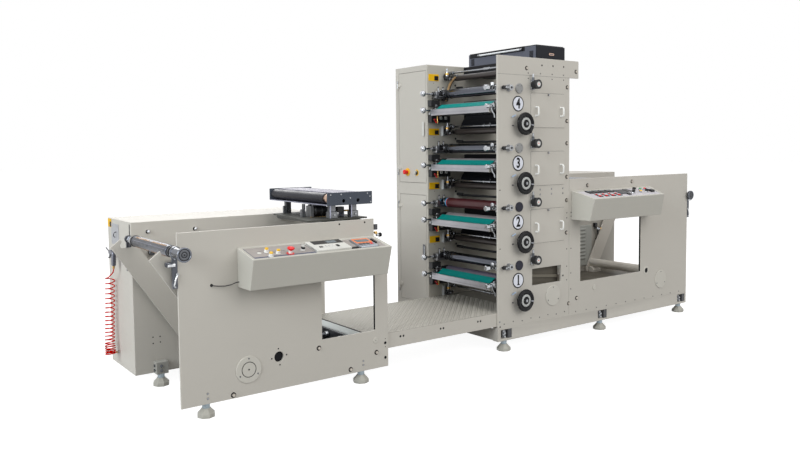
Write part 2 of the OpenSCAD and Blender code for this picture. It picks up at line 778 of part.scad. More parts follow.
// Two hinges a door: the lower knuckle with its pin belongs to the cabinet
hinge_pin_r = 2.5;
knuckle_h = 24;
hinge_inset = 110;
function hinge_zs(zs) = [zs[0] + hinge_inset, zs[1] - hinge_inset];
hinge_x = cabinet_x[0] - hinge_r;
module cabinet_hinge(z) {
  translate([hinge_x, hinge_y, z - knuckle_h]) cylinder(r = hinge_r - 0.5, h = knuckle_h);
  translate([hinge_x, hinge_y, z - 1]) cylinder(r = hinge_pin_r, h = knuckle_h - 3);
  box([hinge_x, hinge_y, z - knuckle_h], [cabinet_x[0], hinge_y + 18, z]);
}
module door_hinge(z, edge_y) {
  difference() {
    union() {
      translate([hinge_x, hinge_y, z + seat]) cylinder(r = hinge_r - 0.5, h = knuckle_h);
      box([hinge_x - 2, edge_y - 30, z + seat], [cabinet_x[0], edge_y, z + seat + knuckle_h]);
      box([hinge_x - 2, edge_y - 1, z + seat], [cabinet_x[0] - 1, hinge_y, z + seat + knuckle_h]);
    }
    translate([hinge_x, hinge_y, z - 1]) cylinder(r = hinge_pin_r + run_gap, h = knuckle_h - 1);
  }
}
module electrical_cabinet() {
  x0 = cabinet_x[0] + cabinet_wall;
  x1 = cabinet_x[1] - cabinet_wall;
  y0 = cabinet_y + cabinet_wall;
  y1 = cabinet_y + cabinet_d - cabinet_wall;
  color(cream) difference() {
    box([cabinet_x[0], cabinet_y, 0], [cabinet_x[1], cabinet_y + cabinet_d, cabinet_h]);
    box([x0, y0, cabinet_wall], [x1, y1, shelf_z - cabinet_wall / 2]);
    box([x0, y0, shelf_z + cabinet_wall / 2], [x1, y1, cabinet_h - cabinet_wall]);
    for (d = [[upper_door_y, upper_door_z], [lower_door_y, lower_door_z]])
      box([cabinet_x[0] - 1, d[0][0] - door_gap, d[1][0] - door_gap],
          [x0 + 8, d[0][1] + door_gap, d[1][1] + door_gap]);
  }
  color(steel) for (zs = [upper_door_z, lower_door_z], z = hinge_zs(zs)) cabinet_hinge(z);
}
module door(ys, zs) {
  box([cabinet_x[0], ys[0], zs[0]], [cabinet_x[0] + door_t, ys[1], zs[1]]);
  for (z = hinge_zs(zs)) door_hinge(z, ys[1]);
}
module cabinet_upper_door() { color(cream) door(upper_door_y, upper_door_z); }
module cabinet_lower_door() { color(cream) door(lower_door_y, lower_door_z); }
// Stop button on its round plate, and a rotary switch, both on the upper door
module door_fittings() {
  x = cabinet_x[0];
  color(yellow) x_rod(cabinet_y + 270, 1255, x - 4, x, 34);
  color(red) {
    x_rod(cabinet_y + 270, 1255, x - 30, x - 4, 13);
    x_rod(cabinet_y + 270, 1255, x - 44, x - 30, 20);
  }
  color(black) {
    x_rod(cabinet_y + 143, 1251, x - 8, x, 22);
    box([x - 26, cabinet_y + 138, 1233], [x - 8, cabinet_y + 148, 1269]);
  }
}

// ---------------------------------------------------------------- rewind unit
rewind_window = [rewind_x + 137, 357, rewind_x + 920, 860];
collar_hole = [rewind_x + 1006, 361];
collar_r = 22;
module rewind_front_plate() {
  color(cream) difference() {
    y_slab(rect(rewind_x, beam_h, end_x, rewind_h), 0, plate_t);
    y_slab(rect(rewind_window[0], rewind_window[1], rewind_window[2], rewind_window[3]),
           -1, plate_t + 1);
    y_rod(collar_hole[0], collar_hole[1], -1, plate_t + 1, collar_r);
    pivot_bore(rewind_pivot);
  }
}
module rewind_back_box() {
  color(cream) difference() {
    box([rewind_x, drive_y, 0], [end_x, back_y, rewind_h]);
    drive_pivot_bore(rewind_pivot);
  }
}
louvre_t = 18;
module louvre_box() {
  color(grey_cream) box([rewind_x + 683, drive_y - louvre_t, 300],
                        [rewind_x + 1238, drive_y, 690]);
}

// ---------------------------------------------------------------- plain label plates
label_h = 56;
label_w = 106;
module label_plates() {
  color(yellow) for (i = [0 : station_n - 1]) {
    z = station_z(i) + 138;
    box([tower_x + 11, tower_y - 2, z - label_h / 2],
        [tower_x + 11 + label_w, tower_y, z + label_h / 2]);
  }
  color(yellow) box([-2, back_y - 85, unwind_h - 62], [0, back_y - 7, unwind_h - 5]);
}

// ---------------------------------------------------------------- cords and air gun
lead_r = 3;
lead_route = [[196, 0, 685], [196, -10, 685], [205, -19, 684], [230, -22, 680], [270, -22, 676],
              [310, -21, 680], [335, -20, 688], [350, -20, 690], [358, -20, 690]];
module console_lead() { color(black) swept(lead_route, lead_r, 8); }

// A round tube along a list of points
function unit(v) = v / norm(v);
function tangent(p, i) =
  unit(p[min(i + 1, len(p) - 1)] - p[max(i - 1, 0)]);
function ring(c, t, r, n) =
  let (a = unit(cross(t, abs(t[2]) < 0.9 ? [0, 0, 1] : [1, 0, 0])), b = cross(t, a))
  [for (k = [0 : n - 1]) c + r * (a * cos(360 * k / n) + b * sin(360 * k / n))];
module swept(p, r, n) {
  m = len(p);
  points = [for (i = [0 : m - 1]) each ring(p[i], tangent(p, i), r, n)];
  sides = [for (i = [0 : m - 2], k = [0 : n - 1])
    [i * n + k, i * n + (k + 1) % n, (i + 1) * n + (k + 1) % n, (i + 1) * n + k]];
  ends = [[for (k = [n - 1 : -1 : 0]) k], [for (k = [0 : n - 1]) (m - 1) * n + k]];
  polyhedron(points, concat(sides, ends));
}

// Air gun hanging on a peg on the end face of the unwind housing, with its curly hose
gun_x = -45;
gun_w = 24;
gun_body = [[1150, 770], [1150, 792], [1120, 800], [1062, 796], [1046, 782], [1052, 696],
            [1088, 696], [1092, 770]];
gun_trigger = [[1146, 770], [1136, 770], [1150, 742], [1172, 738], [1178, 744], [1156, 750]];
gun_nozzle = [1150, 786];
gun_end = [1070, 696];
gun_nozzle_tilt = 10;
peg = [1106, 764.7];
inlet = [1187, 84];
inlet_len = 14;
module air_gun() {
  color(steel) {
    x_slab(gun_body, gun_x - gun_w / 2, gun_x + gun_w / 2);
    x_slab(gun_trigger, gun_x - 5, gun_x + 5);
    translate([gun_x, gun_nozzle[0] - 4, gun_nozzle[1]]) rotate([-90 + gun_nozzle_tilt, 0, 0])
      cylinder(r = 5, h = 90);
    translate([gun_x, gun_end[0], gun_end[1] - 10]) cylinder(r = 9, h = 10);
  }
}
// Hook plate, the gun's peg and the air inlet
module end_fittings() {
  color(steel) {
    box([-3, 1084, 826], [0, 1246, 968]);
    x_rod(1132, 896, -24, -3, 4);
    x_rod(peg[0], peg[1], gun_x - gun_w / 2 - 4, 0, 5);
    x_rod(inlet[0], inlet[1], -inlet_len, 0, 9);
  }
}
hose_r = 4;
coil_r = 28;
tail_route = [[-45, 1070, 686], [-45, 1070, 672], [-45, 1074, 658], [-45, 1084, 645],
              [-45, 1100, 633], [-45, 1120, 624], [-45, 1136, 618], [-45, 1141, 612],
              [-45, 1141, 608]];
coil_route = [[-45, 1165, 608], [-45, 1165, 590], [-47, 1170, 510], [-48, 1173, 430],
              [-51, 1178, 330], [-54, 1183, 230], [-56, 1187, 150], [-56, 1187, 126],
              [-53, 1187, 110], [-44, 1187, 96], [-30, 1187, 87], [-20, 1187, 84],
              [-14, 1187, 84]];
module hose_tail() { color(red) swept(tail_route, hose_r, 8); }
module hose_coil() { color(red) swept(coil_route, coil_r, 12); }

place() unwind_front_plate();
place() unwind_back_box();
place() consoles();
place() console_controls();
place() guide_base();
place() guide_frame();
place() guide_roller(0);  // guide_roller_1
place() guide_roller(1);  // guide_roller_2
place() unwind_air_shaft();
place() rewind_air_shaft();
place() shaft_brackets();
place() unwind_lift_arms();
place() rewind_lift_arms();
place() tie_bars();
place() round_covers();
place() level_feet();
place() walkway();
place() tower_front_plate();
place() base_beam();
place() tower_back_wall();
place() access_covers();
place() number_discs();
place() register_controls();
place() handwheel(0);  // handwheel_1
place() handwheel(1);  // handwheel_2
place() handwheel(2);  // handwheel_3
place() handwheel(3);  // handwheel_4
place() print_cylinder(0);  // print_cylinder_1
place() print_cylinder(1);  // print_cylinder_2
place() print_cylinder(2);  // print_cylinder_3
place() print_cylinder(3);  // print_cylinder_4
place() ink_roller(0);  // ink_roller_1
place() ink_roller(1);  // ink_roller_2
place() ink_roller(2);  // ink_roller_3
place() ink_roller(3);  // ink_roller_4
place() idle_roller(0);  // idle_roller_1
place() idle_roller(1);  // idle_roller_2
place() idle_roller(2);  // idle_roller_3
place() idle_roller(3);  // idle_roller_4
place() bearing_heads();
place() ink_trays();
place() wall_fittings();
place() dryer_boxes();
place() exhaust_hood();
place() lamp_tube();
place() electrical_cabinet();
place() cabinet_upper_door();
place() cabinet_lower_door();
place() door_fittings();
place() rewind_front_plate();
place() rewind_back_box();
place() louvre_box();
place() label_plates();
place() console_lead();
place() end_fittings();
place() air_gun();
place() hose_tail();
place() hose_coil();
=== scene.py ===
"""Looks of a flexographic label press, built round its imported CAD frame.

Sizes are millimetres in the machine's own frame: X along the web from the unwind end,
Y from the operator's side to the drive side, Z up from the side plates' lower edge.
"""
import json
import math

import bmesh
import bpy
from mathutils import Matrix, Vector


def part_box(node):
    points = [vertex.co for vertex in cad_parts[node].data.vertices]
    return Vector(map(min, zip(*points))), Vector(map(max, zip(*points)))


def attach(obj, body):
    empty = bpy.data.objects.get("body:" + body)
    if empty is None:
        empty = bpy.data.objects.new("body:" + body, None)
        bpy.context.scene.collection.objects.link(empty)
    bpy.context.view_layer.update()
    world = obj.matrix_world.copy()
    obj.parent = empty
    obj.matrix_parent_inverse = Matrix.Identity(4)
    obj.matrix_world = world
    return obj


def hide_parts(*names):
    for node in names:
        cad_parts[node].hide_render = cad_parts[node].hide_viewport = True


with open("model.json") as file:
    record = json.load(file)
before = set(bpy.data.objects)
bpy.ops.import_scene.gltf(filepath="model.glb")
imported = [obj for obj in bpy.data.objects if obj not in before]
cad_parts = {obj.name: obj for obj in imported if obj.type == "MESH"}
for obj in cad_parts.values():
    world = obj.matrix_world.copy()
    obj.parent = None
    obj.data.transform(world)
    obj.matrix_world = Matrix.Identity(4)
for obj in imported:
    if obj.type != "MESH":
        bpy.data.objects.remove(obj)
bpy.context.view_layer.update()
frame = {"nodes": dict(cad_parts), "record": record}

MACHINE_ORIGIN = Vector(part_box("unwind_front_plate")[0])
TO_ROW = Matrix.Translation(MACHINE_ORIGIN) @ Matrix.Scale(0.001, 4)
ROOT = "machine"


def span(node):
    """Lowest and highest corner of a CAD node, in the machine's millimetres."""
    low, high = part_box(node)
    return tuple([(v - o) * 1000 for v, o in zip(corner, MACHINE_ORIGIN)] for corner in (low, high))


# ------------------------------------------------------------------ places
STATIONS = range(4)
PLATE = 15  # thickness of the operator's side plates, whose outer face is at Y = 0
WALL = 830  # near face of the drive side wall
HOUSING_FACE = 822  # near face of the two housings
STACK_X, REWIND_X = 2437, 3217  # left edges of the stack's and the rewind's plates
KNOB_X = 2367  # centres of the stations' ball knobs
BORE = (617, 0, 199)  # open bore beside the unwind's round cover
BORE_SCREWS = (50.5, (5, 95, 185, 275))  # their circle's radius and their angles round the bore
REWIND_BORE = (4223, 0, 361)
COVERS = ((414, 157), (4429, 264), (3029, 284))  # round covers on the plates
DISC_X = 2655  # the bolted discs beside the stations
STACK_TOP = span("tower_front_plate")[1][2]


def middle(node):
    """Centre of a CAD node's box, in the machine's millimetres."""
    low, high = span(node)
    return [(a + b) / 2 for a, b in zip(low, high)]


CYLINDERS = [middle(f"print_cylinder_{k + 1}") for k in STATIONS]
INK_ROLLERS = [middle(f"ink_roller_{k + 1}") for k in STATIONS]
WEB_ROLLERS = [middle(f"idle_roller_{k + 1}") for k in STATIONS]
WHEELS = [middle(f"handwheel_{k + 1}") for k in STATIONS]
AXIS_Z = [c[2] for c in CYLINDERS]


# ------------------------------------------------------------------ camera, light, floor
CAMERA_PLACE = (-1521.2, -4187.9, 1460.8)
CAMERA_TURN = (0.631784, 0.063870, -0.010067)


def add_camera():
    """The camera; its turn is to the right from straight across the web, then down, then about its view."""
    yaw, pitch, roll = CAMERA_TURN
    forward = Vector((math.sin(yaw) * math.cos(pitch), math.cos(yaw) * math.cos(pitch), -math.sin(pitch)))
    right = Vector((math.cos(yaw), -math.sin(yaw), 0))
    up = right.cross(forward)
    turned_right = right * math.cos(roll) + up * math.sin(roll)
    turned_up = -right * math.sin(roll) + up * math.cos(roll)
    data = bpy.data.cameras.new("camera")
    data.sensor_width = 36
    data.lens = 34.823835
    data.shift_x = -0.0005
    data.shift_y = -0.0345
    data.clip_start = 0.05
    data.clip_end = 200
    camera = bpy.data.objects.new("camera", data)
    axes = Matrix((turned_right, turned_up, -forward)).transposed().to_4x4()
    camera.matrix_world = Matrix.Translation(TO_ROW @ Vector(CAMERA_PLACE)) @ axes
    bpy.context.scene.collection.objects.link(camera)
    bpy.context.scene.camera = camera


def add_area_light(name, place, target, size, watts, tint=(1, 1, 1)):
    """A rectangular light that faces a target; its place and size are in row metres."""
    data = bpy.data.lights.new(name, "AREA")
    data.shape = "RECTANGLE"
    data.size, data.size_y = size
    data.energy = watts
    data.color = tint
    lamp = bpy.data.objects.new(name, data)
    lamp.location = place
    lamp.rotation_euler = (Vector(target) - Vector(place)).to_track_quat("-Z", "Y").to_euler()
    bpy.context.scene.collection.objects.link(lamp)


def set_inputs(tree, node, values):
    """Each value is a constant to set on the named input, or a socket to link to it."""
    for label, value in values.items():
        if isinstance(value, bpy.types.NodeSocket):
            tree.links.new(value, node.inputs[label])
        else:
            node.inputs[label].default_value = value


def add_node(tree, kind, values):
    """The first result of a new node, with its inputs set."""
    node = tree.nodes.new(kind)
    set_inputs(tree, node, values)
    return node.outputs[0]


def add_math(tree, operation, *values):
    """A math node's result."""
    result = add_node(tree, "ShaderNodeMath", dict(enumerate(values)))
    result.node.operation = operation
    return result


def seen_or_mirrored(tree):
    """One for rays from the camera, through glass or off a shiny surface, else nought."""
    path = tree.nodes.new("ShaderNodeLightPath").outputs
    seen = add_math(tree, "MAXIMUM", path["Is Camera Ray"], path["Is Transmission Ray"])
    return add_math(tree, "MAXIMUM", seen, path["Is Glossy Ray"])


def empty_tree(owner):
    """The node tree of a world or a material, without any node."""
    owner.use_nodes = True
    owner.node_tree.nodes.clear()
    return owner.node_tree


def add_output(tree, kind, result):
    """Ends a tree with its result."""
    tree.links.new(result, tree.nodes.new(kind).inputs[0])


def add_world():
    """White where it is seen or mirrored, and a softer light on everything else."""
    world = bpy.data.worlds.new("studio")
    bpy.context.scene.world = world
    tree = empty_tree(world)
    soft = add_node(tree, "ShaderNodeBackground", {"Color": (1.0, 0.995, 0.98, 1), "Strength": WORLD_LEVEL})
    white = add_node(tree, "ShaderNodeBackground", {"Color": (1, 1, 1, 1), "Strength": 1.0})
    mix = add_node(tree, "ShaderNodeMixShader", {0: seen_or_mirrored(tree), 1: soft, 2: white})
    add_output(tree, "ShaderNodeOutputWorld", mix)


def add_floor():
    """A wide grey floor that glows white where it is seen or mirrored."""
    mesh = bpy.data.meshes.new("floor")
    half = 60
    mesh.from_pydata([(-half, -half, 0), (half, -half, 0), (half, half, 0), (-half, half, 0)], [],
                     [(0, 1, 2, 3)])
    floor = bpy.data.objects.new("floor", mesh)
    bpy.context.scene.collection.objects.link(floor)
    material = bpy.data.materials.new("floor_white")
    tree = empty_tree(material)
    diffuse = add_node(tree, "ShaderNodeBsdfDiffuse", {"Color": (FLOOR_TONE, FLOOR_TONE, FLOOR_TONE, 1)})
    strength = add_math(tree, "MULTIPLY", seen_or_mirrored(tree), FLOOR_GLOW)
    glow = add_node(tree, "ShaderNodeEmission", {"Color": (1, 1, 1, 1), "Strength": strength})
    add_output(tree, "ShaderNodeOutputMaterial", add_node(tree, "ShaderNodeAddShader", {0: diffuse, 1: glow}))
    mesh.materials.append(material)


WORLD_LEVEL = 0.36
FLOOR_TONE = 0.30
FLOOR_GLOW = 0.94

scene = bpy.context.scene
scene.view_settings.view_transform = "Standard"
add_camera()
add_world()
add_floor()
add_area_light("side", (-13.5, -2.6, 6.2), (-1, 0, 0.9), (8.0, 7.0), 1380, (0.93, 0.98, 1.0))
add_area_light("front", (1.5, -10.0, 6.0), (0, 0, 0.8), (13.0, 8.0), 640, (1.0, 0.995, 0.975))
add_area_light("top", (0, -0.5, 7.5), (0, 0, 0), (7, 4), 205)
add_area_light("rear", (1, 8.0, 5.0), (0, 0, 0.8), (6, 4), 260)


# ------------------------------------------------------------------ materials
def new_material(name):
    """A new material, its node tree and its Principled node."""
    material = bpy.data.materials.new(name)
    material.use_nodes = True
    return material, material.node_tree, material.node_tree.nodes["Principled BSDF"]


def noise(tree, scale, detail=3.0, stretch=(1, 1, 1), rough=0.55):
    """Noise in the piece's own space, drawn out by stretch; scale is its patches in a metre."""
    place = tree.nodes.new("ShaderNodeTexCoord").outputs["Object"]
    mapping = add_node(tree, "ShaderNodeMapping", {"Vector": place, "Scale": stretch})
    return add_node(tree, "ShaderNodeTexNoise",
                    {"Vector": mapping, "Scale": scale, "Detail": detail, "Roughness": rough})


def remap(tree, value, low, high, start=0.3, end=0.7):
    """Takes the range from start to end over to the range from low to high."""
    return add_node(tree, "ShaderNodeMapRange",
                    {"Value": value, "From Min": start, "From Max": end, "To Min": low, "To Max": high})


def two_tone(tree, factor, colour, first, second):
    """A change between two shades of one colour, each the colour times a number."""
    node = tree.nodes.new("ShaderNodeMix")
    node.data_type = "RGBA"
    shades = [(*(min(1, c * share) for c in colour), 1) for share in (first, second)]
    set_inputs(tree, node, {0: factor, 6: shades[0], 7: shades[1]})
    return node.outputs[2]


def bump(tree, height, distance, strength):
    """Fine relief for a surface; distance is its depth in metres."""
    return add_node(tree, "ShaderNodeBump", {"Strength": strength, "Distance": distance, "Height": height})


def powder_coat(name, colour, roughness=0.45, grain=420, depth=0.00025, tone=0.035):
    """Textured sheet-metal paint: fine orange peel, slow changes of tone, faint scuffs."""
    material, tree, surface = new_material(name)
    scuff = noise(tree, 9, 5.0, (1, 1, 3), 0.7)
    mixed = add_math(tree, "MULTIPLY_ADD", noise(tree, 1.6, 2.0), 0.7,
                     remap(tree, scuff, 0.0, 0.3, 0.55, 0.8))
    set_inputs(tree, surface, {
        "Base Color": two_tone(tree, mixed, colour, 1 + tone, 1 - tone),
        "Roughness": remap(tree, scuff, roughness - 0.06, roughness + 0.08),
        "Normal": bump(tree, noise(tree, grain, 2.0), depth, 0.5),
        "Specular IOR Level": 0.14})
    return material


def bare_metal(name, colour, roughness=0.3, stretch=(1, 60, 60), scale=12, metallic=1.0, change=0.12):
    """Drawn or ground metal with fine lines along one axis."""
    material, tree, surface = new_material(name)
    lines = noise(tree, scale, 4.0, stretch, 0.6)
    set_inputs(tree, surface, {
        "Metallic": metallic,
        "Base Color": two_tone(tree, remap(tree, noise(tree, 7, 3.0), 0, 1), colour, 1.04, 0.88),
        "Roughness": remap(tree, lines, roughness - change / 2, roughness + change),
        "Normal": bump(tree, lines, 0.00008, 0.35)})
    return material


def chrome(name, colour=(0.52, 0.53, 0.55), roughness=0.09):
    """Polished metal, slightly smeared."""
    material, tree, surface = new_material(name)
    smear = noise(tree, 14, 4.0)
    set_inputs(tree, surface, {
        "Metallic": 1.0,
        "Base Color": two_tone(tree, remap(tree, smear, 0, 1), colour, 1.0, 0.93),
        "Roughness": remap(tree, smear, roughness - 0.03, roughness + 0.09)})
    return material


def plastic(name, colour, roughness=0.35, grain=900, depth=0.00012, tone=0.06, gloss=0.3):
    """Moulded plastic with a fine grain."""
    material, tree, surface = new_material(name)
    slow = noise(tree, 11, 2.0)
    set_inputs(tree, surface, {
        "Base Color": two_tone(tree, remap(tree, slow, 0, 1), colour, 1 + tone, 1 - tone),
        "Roughness": remap(tree, slow, roughness - 0.05, roughness + 0.08),
        "Normal": bump(tree, noise(tree, grain, 2.0), depth, 0.4),
        "Specular IOR Level": gloss})
    return material


def rubber(name, colour, roughness=0.38, stretch=(1, 30, 1)):
    """Ground rubber with faint rings round the roller and a soft sheen."""
    material, tree, surface = new_material(name)
    rings = noise(tree, 10, 4.0, stretch, 0.65)
    set_inputs(tree, surface, {
        "Base Color": two_tone(tree, remap(tree, noise(tree, 5, 3.0), 0, 1), colour, 1.12, 0.86),
        "Roughness": remap(tree, rings, roughness - 0.06, roughness + 0.10),
        "Normal": bump(tree, rings, 0.00006, 0.4)})
    return material


CREAM = powder_coat("cream_coat", (0.540, 0.515, 0.470))
COVER_COAT = powder_coat("cover_coat", (0.57, 0.55, 0.50))
# Dark coats that are painted shade for shaded insides: behind the stack's opening and inside the rewind
# housing
INNER_SHADE = powder_coat("painted_shade_sheet_coat", (0.12, 0.108, 0.088), 0.5)
SHADED_TIE_BAR = powder_coat("tie_bar_painted_shade_coat", (0.17, 0.155, 0.125), 0.5)
# A darker copy of the cream coat: painted shade for the tower's shaded back wall
CREAM_SHADE = powder_coat("cream_painted_shade_coat", (0.470, 0.450, 0.400))
CONSOLE = powder_coat("console_coat", (0.500, 0.485, 0.440), 0.42)
# A lighter copy of the hood's coat: painted light for its lit left side
HOOD_LIT_SIDE = powder_coat("hood_side_painted_light_coat", (0.105, 0.112, 0.142), 0.4, tone=0.06)
HOOD_COAT = powder_coat("hood_coat", (0.009, 0.010, 0.014), 0.42, tone=0.1)
GUIDE_COAT = powder_coat("guide_coat", (0.065, 0.075, 0.095), 0.35, tone=0.08)
BLACK_COAT = powder_coat("black_coat", (0.009, 0.009, 0.011), 0.5, tone=0.1)
STEEL = bare_metal("ground_steel", (0.34, 0.35, 0.365), 0.28)
DARK_STEEL = bare_metal("blackened_steel", (0.10, 0.105, 0.115), 0.36, metallic=0.8)
ALUMINIUM = bare_metal("extruded_aluminium", (0.385, 0.385, 0.41), 0.34, (60, 1, 60))
CHROME = chrome("chrome")
SHAFT_CHROME = chrome("shaft_chrome", (0.36, 0.375, 0.40), 0.16)
BRASS = chrome("brass", (0.52, 0.33, 0.12), 0.22)
BLACK = plastic("black_plastic", (0.020, 0.020, 0.022), 0.34)
DARK_GREY = plastic("dark_grey_plastic", (0.07, 0.07, 0.075), 0.4)
GREY_RING = plastic("grey_plastic", (0.50, 0.51, 0.50), 0.4)
WHITE = plastic("white_plastic", (0.78, 0.78, 0.76), 0.35)
IVORY = plastic("ivory_plastic", (0.64, 0.635, 0.60), 0.38)
PANEL = plastic("panel_laminate", (0.33, 0.30, 0.285), 0.5, tone=0.08)
PANEL_WHITE = plastic("panel_white_laminate", (0.52, 0.50, 0.53), 0.45)
RED = plastic("red_plastic", (0.72, 0.02, 0.02), 0.28)
YELLOW = plastic("yellow_plastic", (0.82, 0.48, 0.03), 0.32)
GREEN = plastic("green_plastic", (0.02, 0.30, 0.10), 0.3)
BLUE = plastic("blue_plastic", (0.05, 0.25, 0.55), 0.35)
DISPLAY = plastic("display_glass", (0.16, 0.19, 0.21), 0.12, depth=0.00002)
TEAL = plastic("teal_liner", (0.0, 0.20, 0.182), 0.45, gloss=0.12)
MAROON = rubber("maroon_sleeve", (0.058, 0.007, 0.010), 0.36)
ROLLER_BLACK = rubber("roller_rubber", (0.034, 0.027, 0.025), 0.34)
INK_SLEEVE = rubber("ink_sleeve", (0.20, 0.185, 0.195), 0.36)
SIGN_BLACK = plastic("sign_black", (0.012, 0.012, 0.014), 0.5, gloss=0.08)
SIGN_YELLOW = plastic("sign_yellow", (0.80, 0.46, 0.012), 0.5, gloss=0.1)
HOSE_RED = plastic("hose_red", (0.62, 0.004, 0.001), 0.6, gloss=0.0)
CABLE = plastic("cable_sheath", (0.02, 0.02, 0.022), 0.5)
ORANGE_STRIP = plastic("clamp_strip", (0.24, 0.13, 0.055), 0.45)


# ------------------------------------------------------------------ shapes
def turned(point, angle, axis="Y"):
    """A place at point, turned about an axis."""
    return Matrix.Translation(point) @ Matrix.Rotation(angle, 4, axis)


def bolt_circle(centre, radius, degrees):
    """Points round a centre in an upright plate, at the given angles."""
    x, _, z = centre
    return [(x + radius * math.cos(a), 0, z + radius * math.sin(a)) for a in map(math.radians, degrees)]


def circle(x, z, radius, count=32, start=0.0):
    """Outline of a circle, or of an even-sided figure."""
    step = 2 * math.pi / count
    return [(x + radius * math.cos(start + i * step), z + radius * math.sin(start + i * step))
            for i in range(count)]


def rounded(x0, z0, x1, z1, radius, count=5):
    """Outline of a rectangle with round corners."""
    points = []
    for cx, cz, turn in ((x1 - radius, z1 - radius, 0), (x0 + radius, z1 - radius, 1),
                         (x0 + radius, z0 + radius, 2), (x1 - radius, z0 + radius, 3)):
        for i in range(count + 1):
            a = math.radians(90 * turn + 90 * i / count)
            points.append((cx + radius * math.cos(a), cz + radius * math.sin(a)))
    return points


# Rows take an outline's (first, second) numbers and the depth to X, Y and Z
AXES = {
    "X": Matrix(((0, 0, 1), (1, 0, 0), (0, 1, 0))).to_4x4(),
    "Y": Matrix(((1, 0, 0), (0, 0, 1), (0, 1, 0))).to_4x4(),
    "Z": Matrix.Identity(4),
}
HERE = Matrix.Identity(4)


class Shape:
    """Gathers solids, in the machine's millimetres, into one piece with several materials."""

    def __init__(self, *materials):
        self.mesh = bmesh.new()
        self.materials = materials

    def faces(self, points, faces, material=0, place=None):
        """Faces over the given points, turned outward."""
        place = place or HERE
        verts = [self.mesh.verts.new(place @ Vector(p)) for p in points]
        made = []
        for face in faces:
            made.append(self.mesh.faces.new([verts[i] for i in face]))
            made[-1].material_index = material
        bmesh.ops.recalc_face_normals(self.mesh, faces=made)
        return made

    def block(self, low, high, material=0, chamfer=0.0, place=None):
        """A box, with its edges cut back by chamfer."""
        (x0, y0, z0), (x1, y1, z1) = low, high
        made = bmesh.ops.create_cube(self.mesh, size=1)["verts"]
        centre = Vector(((x0 + x1) / 2, (y0 + y1) / 2, (z0 + z1) / 2))
        size = Matrix.Diagonal((x1 - x0, y1 - y0, z1 - z0, 1))
        bmesh.ops.transform(self.mesh, matrix=(place or HERE) @ Matrix.Translation(centre) @ size, verts=made)
        faces = {f for v in made for f in v.link_faces}
        for face in faces:
            face.material_index = material
        if chamfer:
            edges = list({e for v in made for e in v.link_edges})
            bmesh.ops.bevel(self.mesh, geom=edges, offset=chamfer, segments=1, affect="EDGES", material=-1)

    def lathe(self, axis, centre, profile, material=0, sides=40, place=None):
        """A solid turned about an axis through centre; profile gives (distance along it, radius)."""
        frame_of_axis = AXES[axis]
        rings = []
        base = (place or HERE) @ Matrix.Translation(Vector(centre)) @ frame_of_axis
        made = []
        for along, radius in profile:
            if radius <= 0:
                rings.append([self.mesh.verts.new(base @ Vector((0, 0, along)))])
            else:
                rings.append([self.mesh.verts.new(base @ Vector((x, z, along)))
                              for x, z in circle(0, 0, radius, sides)])
        for a, b in zip(rings, rings[1:]):
            for i in range(sides):
                j = (i + 1) % sides
                corners = [a[i % len(a)], a[j % len(a)], b[j % len(b)], b[i % len(b)]]
                unique = list(dict.fromkeys(corners))
                if len(unique) > 2:
                    made.append(self.mesh.faces.new(unique))
        if profile[0] != profile[-1]:
            for ring in (rings[0], rings[-1]):
                if len(ring) > 1:
                    made.append(self.mesh.faces.new(ring))
        for face in made:
            face.material_index = material
        bmesh.ops.recalc_face_normals(self.mesh, faces=made)

    def rod(self, axis, centre, start, end, radius, material=0, sides=32, chamfer=0.0, place=None):
        """A round bar along an axis; centre's own value on that axis is not used."""
        at = list(centre)
        at["XYZ".index(axis)] = 0
        c = min(chamfer, radius * 0.45, abs(end - start) * 0.45)
        profile = [(start, radius - c), (start + c, radius), (end - c, radius), (end, radius - c)] if c else [
            (start, radius), (end, radius)]
        self.lathe(axis, at, profile, material, sides, place)

    def rods(self, axis, centre, *lengths):
        """Round bars one after another on the same line; each is what rod takes after its centre."""
        for length in lengths:
            self.rod(axis, centre, *length)

    def prism(self, axis, outline, start, end, material=0, place=None):
        """An outline without holes, drawn out along an axis."""
        base = (place or HERE) @ AXES[axis]
        n = len(outline)
        points = [(a, b, d) for d in (start, end) for a, b in outline]
        sides = [(i, (i + 1) % n, n + (i + 1) % n, n + i) for i in range(n)]
        self.faces(points, sides + [tuple(range(n)), tuple(range(n, 2 * n))], material, base)

    def hexagon(self, axis, centre, start, end, across, material=0, turn=0.3, place=None):
        """A bolt's head; across is its width over flats."""
        at = [c for c, letter in zip(centre, "XYZ") if letter != axis]
        radius = across / math.sqrt(3)
        self.prism(axis, circle(at[0], at[1], radius, 6, turn), start, end, material, place)

    def ball(self, centre, radius, material=0, sides=24, squash=1.0, axis="X", place=None):
        """A ball, squashed along an axis."""
        steps = max(6, sides // 2)
        profile = [(-radius * squash * math.cos(math.pi * i / steps), radius * math.sin(math.pi * i / steps))
                   for i in range(steps + 1)]
        profile[0] = (profile[0][0], 0)
        profile[-1] = (profile[-1][0], 0)
        self.lathe(axis, centre, profile, material, sides, place)

    def tube(self, points, radius, material=0, sides=12, place=None):
        """A round tube along points, closed at both ends."""
        place = place or HERE
        path = [Vector(p) for p in points]
        normal = None
        rings = []
        for i, p in enumerate(path):
            along = (path[min(i + 1, len(path) - 1)] - path[max(i - 1, 0)]).normalized()
            if normal is None:
                normal = along.orthogonal().normalized()
            normal = (normal - along * normal.dot(along)).normalized()
            side = along.cross(normal)
            rings.append([self.mesh.verts.new(
                place @ (p + radius * (normal * math.cos(t) + side * math.sin(t))))
                          for t in (2 * math.pi * k / sides for k in range(sides))])
        made = []
        for a, b in zip(rings, rings[1:]):
            for k in range(sides):
                made.append(self.mesh.faces.new((a[k], a[(k + 1) % sides], b[(k + 1) % sides], b[k])))
        made.append(self.mesh.faces.new(list(reversed(rings[0]))))
        made.append(self.mesh.faces.new(rings[-1]))
        for face in made:
            face.material_index = material
        bmesh.ops.recalc_face_normals(self.mesh, faces=made)

